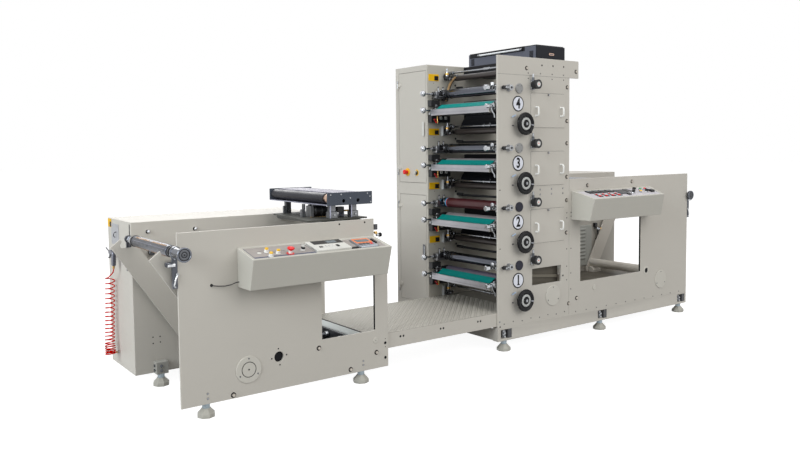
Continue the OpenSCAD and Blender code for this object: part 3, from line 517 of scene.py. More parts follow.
    def plate(self, axis, outline, holes, start, end, material=0, chamfer=0.0, place=None):
        """An outline with holes, drawn out along an axis, with chamfered edges."""
        curve = bpy.data.curves.new("outline", "CURVE")
        curve.dimensions = "2D"
        curve.fill_mode = "BOTH"
        curve.extrude = (end - start) / 2 - chamfer
        curve.bevel_depth = chamfer
        curve.bevel_resolution = 0
        curve.offset = -chamfer
        for ring in [outline, *holes]:
            spline = curve.splines.new("POLY")
            spline.points.add(len(ring) - 1)
            for point, (a, b) in zip(spline.points, ring):
                point.co = (a, b, 0, 1)
            spline.use_cyclic_u = True
        holder = bpy.data.objects.new("outline", curve)
        flat = bpy.data.meshes.new_from_object(holder)
        base = (place or HERE) @ AXES[axis] @ Matrix.Translation((0, 0, (start + end) / 2))
        first = len(self.mesh.verts)
        count = len(self.mesh.faces)
        flat.transform(base)
        self.mesh.from_mesh(flat)
        self.mesh.verts.ensure_lookup_table()
        self.mesh.faces.ensure_lookup_table()
        bmesh.ops.remove_doubles(self.mesh, verts=self.mesh.verts[first:], dist=0.01)
        self.mesh.faces.ensure_lookup_table()
        made = self.mesh.faces[count:]
        for face in made:
            face.material_index = material
        bmesh.ops.recalc_face_normals(self.mesh, faces=made)
        bpy.data.objects.remove(holder)
        bpy.data.curves.remove(curve)
        bpy.data.meshes.remove(flat)

    def text(self, words, size, place, material=0, depth=0.6):
        """Raised figures; place moves them from their own flat X and Y."""
        curve = bpy.data.curves.new("figures", "FONT")
        curve.body = words
        curve.size = size
        curve.align_x = "CENTER"
        curve.align_y = "CENTER"
        curve.extrude = depth / 2
        curve.offset = size * 0.034
        holder = bpy.data.objects.new("figures", curve)
        flat = bpy.data.meshes.new_from_object(holder)
        flat.transform(place)
        count = len(self.mesh.faces)
        self.mesh.from_mesh(flat)
        self.mesh.faces.ensure_lookup_table()
        for face in self.mesh.faces[count:]:
            face.material_index = material
        bpy.data.objects.remove(holder)
        bpy.data.curves.remove(curve)
        bpy.data.meshes.remove(flat)

    def finish(self, name, body=ROOT, slot=None, stands_for=(), smooth=32):
        """Makes the gathered solids one piece."""
        mesh = bpy.data.meshes.new(name)
        self.mesh.to_mesh(mesh)
        self.mesh.free()
        mesh.transform(TO_ROW)
        for material in self.materials:
            mesh.materials.append(material)
        return place_mesh(name, mesh, body, stands_for, smooth)

    def beside(self, name, node):
        """Finishes a further piece of the machine that replaces nothing."""
        return self.finish(name, ROOT, NODE_SLOT[node])

    def stand_in(self, name, *nodes, smooth=32):
        """Finishes the piece that replaces CAD nodes, with the first one's body."""
        return self.finish(name, NODE_BODY[nodes[0]], NODE_SLOT[nodes[0]], nodes, smooth)


def place_mesh(name, mesh, body, stands_for=(), smooth=32):
    """Makes a mesh a piece of its body; smooth is the angle below which edges look round."""
    mesh.polygons.foreach_set("use_smooth", [True] * len(mesh.polygons))
    mesh.set_sharp_from_angle(angle=math.radians(smooth))
    piece = bpy.data.objects.new(name, mesh)
    bpy.context.scene.collection.objects.link(piece)
    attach(piece, body)
    if stands_for:
        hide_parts(*stands_for)
    return piece


NODE_BODY = {node: body for body, nodes in frame["record"]["behaviour"]["bodies"].items() for node in nodes}
NODE_SLOT = {part["node"]: part["material_slot"] for part in frame["record"]["subparts"]}


def coat(node, *materials):
    """Gives a CAD node its finish."""
    piece = frame["nodes"][node]
    piece.data.materials.clear()
    for material in materials:
        piece.data.materials.append(material)


def chamfered(node, material, width=1.2):
    """A copy of a CAD node with its edges chamfered, in the node's place."""
    mesh = frame["nodes"][node].data.copy()
    mesh.name = node + "_body"
    work = bmesh.new()
    work.from_mesh(mesh)
    bmesh.ops.remove_doubles(work, verts=work.verts, dist=0.00002)
    bmesh.ops.dissolve_limit(work, angle_limit=math.radians(0.6), verts=work.verts, edges=work.edges)
    edges = [e for e in work.edges if len(e.link_faces) == 2 and e.calc_face_angle(0) > math.radians(35)]
    bmesh.ops.bevel(work, geom=edges, offset=width / 1000, segments=1, affect="EDGES", clamp_overlap=True)
    bmesh.ops.recalc_face_normals(work, faces=work.faces)
    work.to_mesh(mesh)
    work.free()
    mesh.materials.clear()
    mesh.materials.append(material)
    return place_mesh(node + "_body", mesh, NODE_BODY[node], (node,))


# ------------------------------------------------------------------ air hose and its gun
HOSE_DIAMETER = 7.2
COIL_RADIUS = 29.5
BUNCH_RADIUS = 32.5
COIL_START = math.radians(75)
AIR_INLET = (-14, 1187, 84)
# The hose's path from the valve inside the gun's handle down to the coil
IN_HANDLE = [(-45, 1122, 786), (-45, 1105, 785), (-45, 1088, 779), (-45, 1075, 766), (-45, 1070, 750),
             (-45, 1070, 728), (-45, 1070, 706)]
HOSE_TAIL = [(-45, 1070, 686), (-45, 1071, 672), (-46, 1076, 658), (-49, 1086, 646), (-53, 1100, 637)]
# The coil's middle line, which hangs down and swings in over the inlet
COIL_AXIS = [(-45, 1165, 604), (-45, 1165, 590), (-47, 1170, 510), (-48, 1173, 430), (-51, 1178, 330),
             (-54, 1179, 230), (-58, 1172, 160), (-60, 1156.5, 116), (-60, 1154.5, 92), (-60, 1154.5, 84)]
GUN_X = -45


def curve_through(points, step=2.0):
    """Points close together on a smooth curve through the given ones."""
    path = [Vector(p) for p in points]
    ends = [path[0] * 2 - path[1]] + path + [path[-1] * 2 - path[-2]]
    made = []
    for a, b, c, d in zip(ends, ends[1:], ends[2:], ends[3:]):
        parts = max(1, round((c - b).length / step))
        for i in range(parts):
            t = i / parts
            made.append(0.5 * (2 * b + (c - a) * t + (2 * a - 5 * b + 4 * c - d) * t * t
                               + (3 * b - a - 3 * c + d) * t ** 3))
    return made + [path[-1]]


def evenly(points, step):
    """The same line with its points a step apart."""
    path = [Vector(p) for p in points]
    total = sum((b - a).length for a, b in zip(path, path[1:]))
    parts = max(2, round(total / step))
    made, gone, i = [], 0.0, 0
    for k in range(parts + 1):
        target = total * k / parts
        while i < len(path) - 2 and gone + (path[i + 1] - path[i]).length < target:
            gone += (path[i + 1] - path[i]).length
            i += 1
        made.append(path[i].lerp(path[i + 1], min(1, (target - gone) / (path[i + 1] - path[i]).length)))
    return made


def coil_line():
    """A coil that opens out towards its top and ends level with the inlet."""
    axis = curve_through(COIL_AXIS, 0.8)
    pitches = [14 if p.z < 150 else 37 - (608 - p.z) * 0.031 for p in axis]
    turning = [(b - a).length / pitch for a, b, pitch in zip(axis, axis[1:], pitches)]
    part_turn = (0.5 - COIL_START / (2 * math.pi)) % 1
    scale = (math.floor(sum(turning)) + part_turn) / sum(turning)
    across = Vector((1, 0, 0))
    phase, coil = COIL_START, []
    for i, (p, part) in enumerate(zip(axis, [0.0] + turning)):
        phase += 2 * math.pi * part * scale
        along = (axis[min(i + 1, len(axis) - 1)] - axis[max(i - 1, 0)]).normalized()
        side = along.cross(across).normalized()
        radius = COIL_RADIUS + (BUNCH_RADIUS - COIL_RADIUS) * min(1, max(0, (240 - p.z) / 130))
        coil.append(p + radius * (side * math.cos(phase) - across * math.sin(phase)))
    return coil


def hose_line():
    """The hose's centreline from the inlet, up its coil, to the gun's handle."""
    coil = coil_line()
    heading = Vector((-math.cos(COIL_START), math.sin(COIL_START), -0.28))
    joint = [coil[0] - heading * 32 + Vector((0, 0, 1)), coil[0] - heading * 14]
    tail = evenly(curve_through(IN_HANDLE + HOSE_TAIL + joint, 3), 3)
    inlet = Vector(AIR_INLET)
    line = tail + coil[1:] + [inlet - Vector((30, 0, 0)), inlet - Vector((16, 0, 0)), inlet]
    line = evenly(line, 3.2)
    for _ in range(9):
        between = [b * 0.5 + (a + c) * 0.25 for a, b, c in zip(line, line[1:], line[2:])]
        line = [line[0]] + between + [line[-1]]
    return list(reversed(evenly(line, 3.6)))


GUN_METAL = bare_metal("gun_body_metal", (0.125, 0.13, 0.16), 0.32)


def add_gun():
    """A blow gun with a cranked nozzle, hung by its handle's neck."""
    gun = Shape(GUN_METAL, DARK_STEEL, BRASS, BLUE)
    body = [(1150, 770), (1152, 792), (1140, 797), (1120, 800), (1085, 799), (1062, 796), (1050, 789),
            (1046, 780), (1049, 740), (1053, 700), (1058, 696), (1084, 696), (1089, 702), (1091, 740),
            (1094, 762), (1102, 769)]
    gun.plate("X", body, [], GUN_X - 11, GUN_X + 11, 0, 3.5)
    lever = [(1148, 772), (1140, 771), (1150, 744), (1160, 738), (1174, 737), (1179, 742), (1172, 746),
             (1160, 748)]
    gun.plate("X", lever, [], GUN_X - 5, GUN_X + 5, 1, 1.2)
    gun.tube([(GUN_X, 1146, 785), (GUN_X, 1175, 787), (GUN_X, 1205, 794), (GUN_X, 1234, 803)], 4.2, 1, 14)
    gun.rod("Y", (GUN_X, 0, 785), 1148, 1162, 8, 2, 24, 1)
    gun.rods("Z", (GUN_X, 1070, 0), (678, 697, 8.5, 2, 6, 1), (697, 701, 11, 3, 24, 1))
    return gun.stand_in("air_gun_body", "air_gun")


def add_hose():
    """The air hose as one cord from the inlet to the gun."""
    line = hose_line()
    hose = Shape(HOSE_RED)
    hose.tube(line, HOSE_DIAMETER / 2, 0, 10)
    piece = hose.stand_in("air_hose", "hose_coil", "hose_tail", smooth=60)
    add_gun()


add_hose()


def add_end_fittings():
    """Hook plate, the gun's peg and the air inlet on the unwind housing's end."""
    low, high = (-3, 1084, 826), (0, 1246, 968)
    fit = Shape(END_GREY, DARK_STEEL, BRASS, SIGN_BLACK, STEEL)
    outline = rounded(low[1], low[2], high[1], high[2], 6)
    fit.plate("X", outline, [circle(1104, 950, 4, 16), circle(1226, 950, 4, 16), circle(1104, 844, 4, 16),
                             circle(1226, 844, 4, 16)], low[0], high[0], 0, 0.8)
    fit.tube([(-2, 1132, 914), (-10, 1132, 914), (-19, 1132, 908), (-22, 1132, 896), (-20, 1132, 884),
              (-12, 1132, 880)], 3.4, 1, 12)
    fit.rods("X", (0, 1106, 764.7), (GUN_X - 16, 0, 5, 4, 20, 1), (GUN_X - 18, GUN_X - 14, 8, 4, 20, 1))
    fit.block((-0.4, 843, 912), (0.3, 861, 986), 3)
    fit.rod("X", (0, 852, 968), -1.2, 0.3, 3, 3, 12)
    inlet = (0, AIR_INLET[1], AIR_INLET[2])
    fit.rods("X", inlet, (-5, 0, 14, 4, 6, 0.8), (AIR_INLET[0], -5, 8, 2, 24, 1))
    return fit.stand_in("end_face_fittings", "end_fittings")


END_GREY = powder_coat("end_plate_coat", (0.40, 0.40, 0.42), 0.4)
add_end_fittings()


def add_housing_fittings():
    """Studs with painted shadows, small bores as black discs of painted shade, and the drive side's shaft
    seat on the unwind housing's face.
    """
    kit = Shape(SIGN_BLACK, BRIGHT_STUD, DARK_STEEL)
    face = HOUSING_FACE
    for x, z in ((121, 237), (168, 235), (121, 195), (169, 198)):
        # Black discs: painted shade for small bores
        kit.rod("Y", (x, 0, z), face - 0.4, face + 0.3, 4.5, 0, 16)
    for x, z in ((110, 935), (428, 933), (1253, 935)):
        # Black disc shifted down and left behind each stud: its painted shadow
        kit.rod("Y", (x - 3, 0, z - 1), face - 0.5, face + 0.3, 13, 0, 28)
        kit.hexagon("Y", (x, 0, z), face - 14, face + 0.3, 21, 1)
        kit.ball((x, face - 14, z), 9, 1, 20, 0.5, "Y")
    kit.rod("Y", (124, 0, 800), face - 34, face + 0.3, 20, 2, 28, 4)
    return kit.beside("housing_studs", "tie_bars")


BRIGHT_STUD = chrome("stud_chrome", (0.62, 0.63, 0.65), 0.14)
add_housing_fittings()


# ------------------------------------------------------------------ painted sheet and plate
# A lighter cream, painted light: the rewind's lift arms take it to look lit against the housing behind them
LIT_CREAM = powder_coat("lighter_cream_painted_light_coat", (0.70, 0.66, 0.60))
BRACKET_METAL = bare_metal("bracket_metal", (0.085, 0.09, 0.105), 0.38, metallic=0.7)
for node, material, width in (
        ("unwind_back_box", CREAM, 3.0), ("consoles", CONSOLE, 2.2),
        # The rewind's lift arms take the lighter cream, painted light
        ("unwind_lift_arms", CREAM, 1.6), ("rewind_lift_arms", LIT_CREAM, 4.0),
        # The tower's back wall takes the darker cream, painted shade
        ("base_beam", CREAM, 2.0), ("tower_back_wall", CREAM_SHADE, 1.5),
        ("electrical_cabinet", CREAM, 2.0), ("cabinet_upper_door", CREAM, 2.4),
        ("cabinet_lower_door", CREAM, 2.4),
        ("rewind_back_box", CREAM, 3.0), ("shaft_brackets", BRACKET_METAL, 1.2)):
    chamfered(node, material, width)
coat("tie_bars", SHAFT_CHROME)
coat("console_lead", CABLE)


# ------------------------------------------------------------------ screws and bolts
HEX_BOLTS = [(895, 207), (1334, 107), (1130, 28), (314, 22),
             (3188, 1925), (3186, 1660), (3186, 1484), (3186, 1218), (3185, 1031), (3185, 772),
             (3213, 196), (3309, 228), (3436, 1141), (4010, 1153), (2737, 2053), (3291, 2052)]
CAP_SCREWS = [(157, 60), (157, 31), (1229, 67), (1229, 40), (2455, 150)]
SEAM_SCREWS = ([(3190, z) for z in (390, 500, 640, 890, 930)] + [(3240, z) for z in (310, 440, 640, 900, 930)]
               + [(2754, 2017), (2886, 2018), (3016, 2018), (3145, 2018), (2754, 1977), (3016, 1980),
                  (3146, 1980)])
BEAM_SCREWS = ([(2500 + 95 * i, 128 + 8 * (i % 2)) for i in range(8)]
               + [(3300 + 128 * i, 118) for i in range(12)])
COVER_SCREWS = [(2812, 690), (2812, 662)] + [(x, z) for x in (2886, 3012, 3143) for z in (1128, 1090)]


def start_tree(name, points, faces, numbers, counts):
    """A holder of a few points or faces, a node group for it and the group's named inputs."""
    mesh = bpy.data.meshes.new(name + "_start")
    mesh.from_pydata(points, [], faces)
    holder = bpy.data.objects.new(name + "_start", mesh)
    bpy.context.scene.collection.objects.link(holder)
    group = bpy.data.node_groups.new(name + "_tree", "GeometryNodeTree")
    for way in ("INPUT", "OUTPUT"):
        group.interface.new_socket("Geometry", in_out=way, socket_type="NodeSocketGeometry")
    for labels, kind in ((numbers, "NodeSocketFloat"), (counts, "NodeSocketInt")):
        for label in labels:
            group.interface.new_socket(label, in_out="INPUT", socket_type=kind)
    return holder, group, group.nodes.new("NodeGroupInput").outputs


def painted(group, geometry, material):
    """Geometry with a material on all its faces."""
    return add_node(group, "GeometryNodeSetMaterial", {"Geometry": geometry, "Material": material})


def copies_on(group, points, instance, more=None):
    """Real copies of a shape on points; more sets the copying node's other inputs."""
    copies = add_node(group, "GeometryNodeInstanceOnPoints", {
        "Points": points, "Instance": instance, **(more or {})})
    return add_node(group, "GeometryNodeRealizeInstances", {0: copies})


def grow(name, holder, group, geometry, values, place=HERE):
    """The mesh that a finished tree makes with its inputs set by name, moved to its place."""
    add_output(group, "NodeGroupOutput", geometry)
    modifier = holder.modifiers.new("tree", "NODES")
    modifier.node_group = group
    for item in group.interface.items_tree:
        if item.name in values:
            modifier[item.identifier] = values[item.name]
    bpy.context.view_layer.update()
    mesh = bpy.data.meshes.new_from_object(holder.evaluated_get(bpy.context.evaluated_depsgraph_get()))
    mesh.name = name
    bpy.data.objects.remove(holder)
    mesh.transform(TO_ROW @ place)
    return mesh


def repeated(name, points, head_radius, head_height, sides, recess_radius, material):
    """Bolt heads, one at each point, each with a flat black disc behind it as painted shade for its recess,
    made by a node tree.
    """
    holder, group, enter = start_tree(name, [(x, 0, z) for x, z in points], [],
                                      ("Head radius", "Head height", "Recess radius"), ("Sides",))
    head = add_node(group, "GeometryNodeMeshCone", {
        "Vertices": enter["Sides"], "Radius Bottom": enter["Head radius"], "Depth": enter["Head height"],
        "Radius Top": add_math(group, "MULTIPLY", enter["Head radius"], HEAD_TAPER)})
    ring = add_node(group, "GeometryNodeMeshCylinder", {
        "Vertices": 20, "Radius": enter["Recess radius"], "Depth": 0.5})
    join = group.nodes.new("GeometryNodeJoinGeometry")
    # The ring is a flat black disc, painted shade for the recess round the bolt's head
    for part, finish in ((head, material), (ring, SIGN_BLACK)):
        upright = add_node(group, "GeometryNodeTransform", {
            "Geometry": part, "Rotation": (math.pi / 2, 0, 0)})
        group.links.new(painted(group, upright, finish), join.inputs[0])
    mesh = grow(name, holder, group, copies_on(group, enter["Geometry"], join.outputs[0]),
                {"Head radius": head_radius, "Head height": head_height, "Recess radius": recess_radius,
                 "Sides": sides})
    return place_mesh(name, mesh, ROOT)


HEAD_TAPER = 0.86
BOLT_METAL = bare_metal("bolt_metal", (0.46, 0.42, 0.37), 0.3, metallic=0.7)
repeated("hex_bolts", HEX_BOLTS, 11.5, 9.0, 6, 16.5, BOLT_METAL)
repeated("cap_screws", CAP_SCREWS + COVER_SCREWS, 5.5, 2.4, 16, 7.0, STEEL)
repeated("seam_screws", SEAM_SCREWS + BEAM_SCREWS, 3.4, 1.2, 12, 5.0, DARK_STEEL)


def add_plate_marks():
    """Open bores, joint lines and small fittings on the operator's side, with painted shade for bores,
    pockets and the stack's opening.
    """
    marks = Shape(SIGN_BLACK, DARK_GREY, STEEL, BRASS, COVER_COAT, INNER_SHADE, SHADED_TIE_BAR)
    # Black discs: painted shade for open bores
    for x, z, r in ((1406, 160, 10), (1406, 61, 10), (1406, 188, 3), (1406, 133, 3), (196, 685, 9),
                    (3146, 430, 8), (2459, 112, 6), (2459, 700, 5), (2459, 1140, 5), (1060, 980, 6),
                    (1253, 980, 6), (2903, 2082, 7), (3026, 2083, 7), (3147, 2083, 7)):
        marks.rod("Y", (x, 0, z), -0.3, 0.2, r, 0, 24)
    marks.block((STACK_X, -0.25, 1998.2), (REWIND_X, 0.2, 1999.8), 1)
    # Painted shade: a dark sheet behind the lowest station's opening stands for its shaded inside, crossed by
    # a tie bar in a darkened coat
    marks.block((2782, 62, 372), (3150, 66, 532), 5)
    slope = turned((2960, 52, 440), 0.10)
    marks.block((-172, -5, -12), (180, 5, 12), 6, 2, slope)
    marks.rods("Y", (1327, 0, 189), (-4, 0.1, 19, 4, 32, 3), (-4.4, -3.9, 2.6, 0, 16))
    marks.rod("Y", (3526, 0, 292), -5, 0.1, 22, 4, 32, 3.5)
    # Open bore beside the round cover: a black cup behind it, painted shade for the bore's inside, and a
    # screw in each bolt hole
    marks.lathe("Y", BORE, [(PLATE + 0.2, 33), (72, 33), (72, 0)], 0, 40)
    marks.rod("Y", BORE, 60, 70, 12, 2, 24, 1)
    for at in bolt_circle(BORE, *BORE_SCREWS):
        marks.rod("Y", at, -1.2, 6, 4.1, 0, 16, 0.6)
    # Dark grey cup behind the rewind's bore: painted shade for its inside
    marks.lathe("Y", REWIND_BORE, [(PLATE + 0.2, 23), (60, 23), (60, 0)], 1, 40)
    marks.lathe("Y", REWIND_BORE, [(0.2, 22.4), (-2.2, 23.5), (-2.8, 26), (-2.8, 36), (-1.8, 38.5),
                                      (0.2, 39), (0.2, 22.4)], 4, 56)
    # Beam pockets: a black sheet at the back, painted shade, a dark grey block, a steel block and two nuts
    for x in (2525, 3635, 4745):
        marks.block((x - 56, 48, 16), (x + 56, 51.8, 85), 0)
        marks.block((x + 20, 2, 16), (x + 56, 50, 85), 1)
        marks.block((x - 20, 20, 16), (x + 8, 44, 76), 2, 1)
        for z in (54, 28):
            marks.rod("Y", (x - 6, 0, z), 10, 20, 10, 2, 6, 1)
    # Lock and stop beyond the plate's upper right edge
    marks.block((1330, -2, 925), (1354, 14, 962), 1, 2)
    marks.rod("Y", (1340, 0, 906), -6, 12, 10, 3, 24, 1.2)
    marks.rods("X", (0, 4, 890), (1346, 1366, 9, 2, 24, 1), (1366, 1384, 14, 0, 28, 2))
    return marks.beside("plate_marks", "tie_bars")


add_plate_marks()


def add_round_covers():
    """Round covers on the plates and a bolted disc beside each station."""
    disc_face = span("round_covers")[0][1]
    covers = Shape(COVER_COAT, SIGN_BLACK, DISC_GREY, DISC_DARK, DARK_STEEL)
    face = -6
    for x, z in COVERS:
        covers.rod("Y", (x, 0, z), face, 0, 82, 0, 64, 4.5)
    x, z = COVERS[0]
    covers.lathe("Y", (x, 0, z), [(face - 0.4, 43), (face - 0.4, 47), (face + 0.2, 47), (face + 0.2, 43),
                                  (face - 0.4, 43)], 1, 48)
    covers.rod("Y", (x, 0, z), face - 0.4, face + 0.1, 5, 1, 20)
    for x, z in COVERS:
        for at in bolt_circle((x, 0, z), 66, (90, 210, 330)):
            covers.rod("Y", at, face - 1.5, face + 0.1, 5, 4, 16, 0.6)
    for k, z in enumerate(AXIS_Z):
        covers.rod("Y", (DISC_X, 0, z), disc_face, 0, 37, 2 if k >= 2 else 3, 48, 1.2)
        for at in bolt_circle((DISC_X, 0, z), 28, (45, 135, 225, 315)):
            covers.rod("Y", at, disc_face - 0.4, disc_face + 0.2, 2.8, 1, 10)
    return covers.stand_in("bolted_covers", "round_covers")


DISC_GREY = powder_coat("disc_coat", (0.30, 0.30, 0.30), 0.4, tone=0.14)
DISC_DARK = powder_coat("dark_disc_coat", (0.028, 0.028, 0.042), 0.35)
add_round_covers()


def add_access_covers():
    """Lift-off covers with two bow handles and a thumb screw each."""
    covers = Shape(CREAM, HANDLE_WHITE, STEEL, DARK_GREY)
    x0, x1, height, thick = 2783, 3158, 262, 4
    for k in range(3):
        z0 = AXIS_Z[k] + 154
        covers.plate("Y", rounded(x0, z0, x1, z0 + height, 10), [], -thick, 0, 0, 1.0)
        # Dark grey outline round each cover: painted shade in the gap around it
        covers.plate("Y", rounded(x0 - 1.6, z0 - 1.6, x1 + 1.6, z0 + height + 2.2, 11), [], -0.6, 0.1, 3, 0)
        mid = z0 + height / 2 - 8
        for x in (x0 + 50, x1 - 46):
            reach, half = -34, 33
            path = [(x, -thick + 1, mid - half), (x, -thick - 18, mid - half),
                    (x, -thick - 27, mid - half + 3), (x, reach - 1, mid - half + 12), (x, reach - 1, mid),
                    (x, reach - 1, mid + half - 12), (x, -thick - 27, mid + half - 3),
                    (x, -thick - 18, mid + half), (x, -thick + 1, mid + half)]
            covers.tube(path, 6.2, 1, 12)
            for z in (mid - half, mid + half):
                covers.rod("Y", (x, 0, z), -thick - 2, -thick + 0.5, 8, 1, 20, 0.6)
        x, z = (x0 + x1) / 2, z0 + height - 10
        covers.rods("Y", (x, 0, z), (-thick - 12, -thick, 7, 2, 20, 1),
                    (-thick - 0.3, -thick + 0.2, 9, 3, 20))
    return covers.stand_in("lift_off_covers", "access_covers")


HANDLE_WHITE = plastic("handle_white", (0.80, 0.80, 0.78), 0.3)
add_access_covers()


def add_number_discs():
    """White discs with a black ring and the station's number."""
    discs = Shape(DISC_WHITE, SIGN_BLACK)
    for k in STATIONS:
        centre = (2646, 0, AXIS_Z[k] - 115)
        discs.rods("Y", centre, (-3, 0, 58.5, 1, 64, 0.6), (-3.4, -2.6, 50.5, 0, 64))
        stand = (turned((centre[0], -3.7, centre[2] - 1), math.pi / 2, "X")
                 @ Matrix.Diagonal((0.90, 1.16, 1, 1)))
        discs.text(str(k + 1), 90, stand, 1, 0.8)
        if k == 0:
            discs.block((centre[0] - 13, -4.1, centre[2] - 36), (centre[0] + 16, -3.3, centre[2] - 29), 1)
    return discs.stand_in("station_number_discs", "number_discs")


DISC_WHITE = plastic("disc_white", (0.78, 0.80, 0.88), 0.4, gloss=0.15)
add_number_discs()


# ------------------------------------------------------------------ consoles and their controls
CONSOLE_TILT = math.radians(13.2)
CONSOLE_BACK = 233
UNWIND_CONSOLE = (358, 657, 216)
REWIND_CONSOLE = (3243, 872, 240)
PANEL_LEVEL = -6.0
PANEL_TOP = PANEL_LEVEL + 1.0


def console_place(console):
    """From (along the console, up its slope, outward) to the machine's millimetres."""
    x0, z0, depth = console
    front_z = z0 + CONSOLE_BACK - depth * math.tan(CONSOLE_TILT)
    return turned((x0, -depth, front_z), CONSOLE_TILT, "X")


def add_panels():
    """Laminate laid in each console's recess."""
    left, right = console_place(UNWIND_CONSOLE), console_place(REWIND_CONSOLE)
    panels = Shape(PANEL, PANEL_WHITE, BLUE_SHADE, DARK_GREY)
    top = PANEL_TOP
    panels.plate("Z", [(22.5, 22.5), (936.5, 22.5), (936.5, 199), (22.5, 199)], [], PANEL_LEVEL, top, 0, 0,
                 left)
    # Dark blue strips along the recess's lower and left edges: painted shade for the recess's walls
    panels.block((23, 23, top), (428, 48, top + 0.8), 2, 0, left)
    panels.block((23, 48, top), (29, 198, top + 0.8), 2, 0, left)
    panels.plate("Z", [(22.5, 22.5), (881, 22.5), (978, 223), (22.5, 223)], [], PANEL_LEVEL, top, 1, 0, right)
    panels.plate("Z", [(24, 24), (880, 24), (906, 78), (24, 78)], [], top, top + 0.2, 1, 0, right)
    for x, y in ((108, 140), (170, 98), (240, 116)):
        panels.block((x - 16, y - 1.2, top), (x + 16, y + 1.2, top + 0.4), 3, 0, left)
    return panels.beside("console_panels", "consoles")


# Painted shade for the edges of the left console's recess
BLUE_SHADE = plastic("panel_edge_painted_shade", (0.06, 0.07, 0.12), 0.4)
add_panels()


def push_button(shape, place, x, y, radius, height, cap, bezel):
    """A round bezel with a cap standing in it."""
    shape.lathe("Z", (x, y, PANEL_TOP), [
        (0, radius), (height * 0.15, radius), (height * 0.2, radius * 0.86),
        (height * 0.62, radius * 0.86), (height * 0.66, radius * 0.78)], bezel, 28, place)
    shape.lathe("Z", (x, y, PANEL_TOP), [(height * 0.6, radius * 0.74), (height * 0.94, radius * 0.74),
                                         (height, radius * 0.66)], cap, 28, place)


def knob_with_pointer(shape, place, x, y, radius, height, cap, bezel, turn=0.4):
    """A rotary knob: a bezel, a cap and a bar across it that shows its turn."""
    shape.lathe("Z", (x, y, PANEL_TOP), [
        (0, radius), (4, radius), (5, radius * 0.9), (8, radius * 0.86)], bezel, 28, place)
    shape.lathe("Z", (x, y, PANEL_TOP), [
        (7, radius * 0.8), (height * 0.6, radius * 0.74), (height * 0.66, radius * 0.66)], cap, 24, place)
    spot = place @ turned((x, y, PANEL_TOP + height * 0.6), turn, "Z")
    shape.block((-radius * 0.26, -radius * 0.85, -2), (radius * 0.26, radius * 0.85, height * 0.4), cap, 1.0,
                spot)


def add_left_controls():
    """Push buttons, stop button, selector, tension controller and counter."""
    place = console_place(UNWIND_CONSOLE)
    top = PANEL_TOP
    kit = Shape(CHROME, YELLOW, RED, BLACK, WHITE, DISPLAY, GREY_METAL, ORANGE, DARK_GREY, IVORY, VENT_SHADE)
    for x, y in ((137, 116), (132, 45), (194, 77)):
        push_button(kit, place, x, y, 14.5, 27, 1, 4)
        kit.rod("Z", (x, y, 0), top, top + 1.2, 16.5, 0, 32, 0.4, place)
    kit.rod("Z", (89, 109, 0), top, top + 2.5, 13, 9, 32, 0.8, place)
    # Stop button: red plate, white stem and red mushroom head
    x, y = 266, 60
    kit.rods("Z", (x, y, 0), (top, top + 1.5, 24, 2, 36, 0.4, place),
             (top + 1.5, top + 19, 12.5, 4, 32, 1, place), (top + 19, top + 23, 11.5, 2, 32, 0, place))
    kit.lathe("Z", (x, y, top), [(22, 13), (27, 20), (32, 22), (37, 21), (40, 16), (41.5, 9), (42, 0)], 2, 36,
              place)
    # Selector: white collar, black pointer knob
    x, y = 363, 86
    kit.rods("Z", (x, y, 0), (top, top + 12, 13.5, 4, 32, 1, place),
             (top + 12, top + 25, 13, 3, 32, 1.5, place))
    spot = place @ turned((x, y, top + 25), 0.5, "Z")
    kit.block((-4.5, -13, -2), (4.5, 13, 15), 3, 1.4, spot)
    # Tension controller
    x0, x1, y0, y1, high = 428.5, 674.5, 25.5, 184.5, 11.0
    kit.plate("Z", rounded(x0, y0, x1, y1, 5), [], PANEL_LEVEL, high, 9, 2.0, place)
    kit.plate("Z", rounded(x0 + 30, y1 - 65, x1 - 6, y1 - 3, 3), [], high - 1, high + 0.8, 3, 0.4, place)
    kit.block((x0 + 130, y1 - 55, high + 0.5), (x0 + 198, y1 - 17, high + 1.4), 5, 0.4, place)
    kit.block((x0 + 40, y0 + 40, high - 0.5), (x0 + 64, y0 + 56, high + 3), 3, 1.2, place)
    kit.block((x0 + 160, y0 + 33, high - 0.5), (x0 + 178, y0 + 60, high + 5), 3, 1.6, place)
    for i in range(3):
        kit.block((x0 + 84 + 22 * i, y0 + 46, high - 0.5), (x0 + 95 + 22 * i, y0 + 51, high + 0.5), 6, 0.2,
                  place)
        kit.block((x0 + 88 + 22 * i, y0 + 66, high - 0.5), (x0 + 100 + 22 * i, y0 + 68, high + 0.4), 8, 0,
                  place)
    # Grey slots down the controller's side: painted shade for its vents
    for i in range(9):
        kit.block((x0 - 0.5, y0 + 12 + 15 * i, -3), (x0 + 1, y0 + 22 + 15 * i, high - 4), 10, 0, place)
    # Batch counter
    x0, x1, y0, y1, high = 740.5, 873.5, 24.5, 169.5, 7.0
    kit.plate("Z", rounded(x0, y0, x1, y1, 7), [], PANEL_LEVEL, high, 6, 2.0, place)
    kit.plate("Z", rounded(x0 + 7, y0 + 62, x1 - 7, y1 - 6, 5), [], high - 0.5, high + 1.0, 7, 0.4, place)
    kit.block((x0 + 18, y0 + 76, high + 0.5), (x1 - 18, y1 - 22, high + 1.6), 5, 0.4, place)
    for i in range(4):
        kit.block((x0 + 14 + 27 * i, y0 + 34, high - 0.5), (x0 + 33 + 27 * i, y0 + 56, high + 2),
                  (8, 8, 8, 2)[i], 0.8, place)
    kit.block((683, 34, top), (732, 50, top + 8), 3, 1.5, place)
    kit.block((887, 88, top), (903, 150, top + 12), 3, 2, place)
    return kit.stand_in("unwind_controls", "console_controls")


GREY_METAL = bare_metal("brushed_bezel", (0.42, 0.45, 0.50), 0.35)
ORANGE = plastic("orange_bezel", (0.85, 0.22, 0.07), 0.4)
# Painted shade for vent slots
VENT_SHADE = plastic("vent_shadow", (0.30, 0.30, 0.29), 0.5)
add_left_controls()


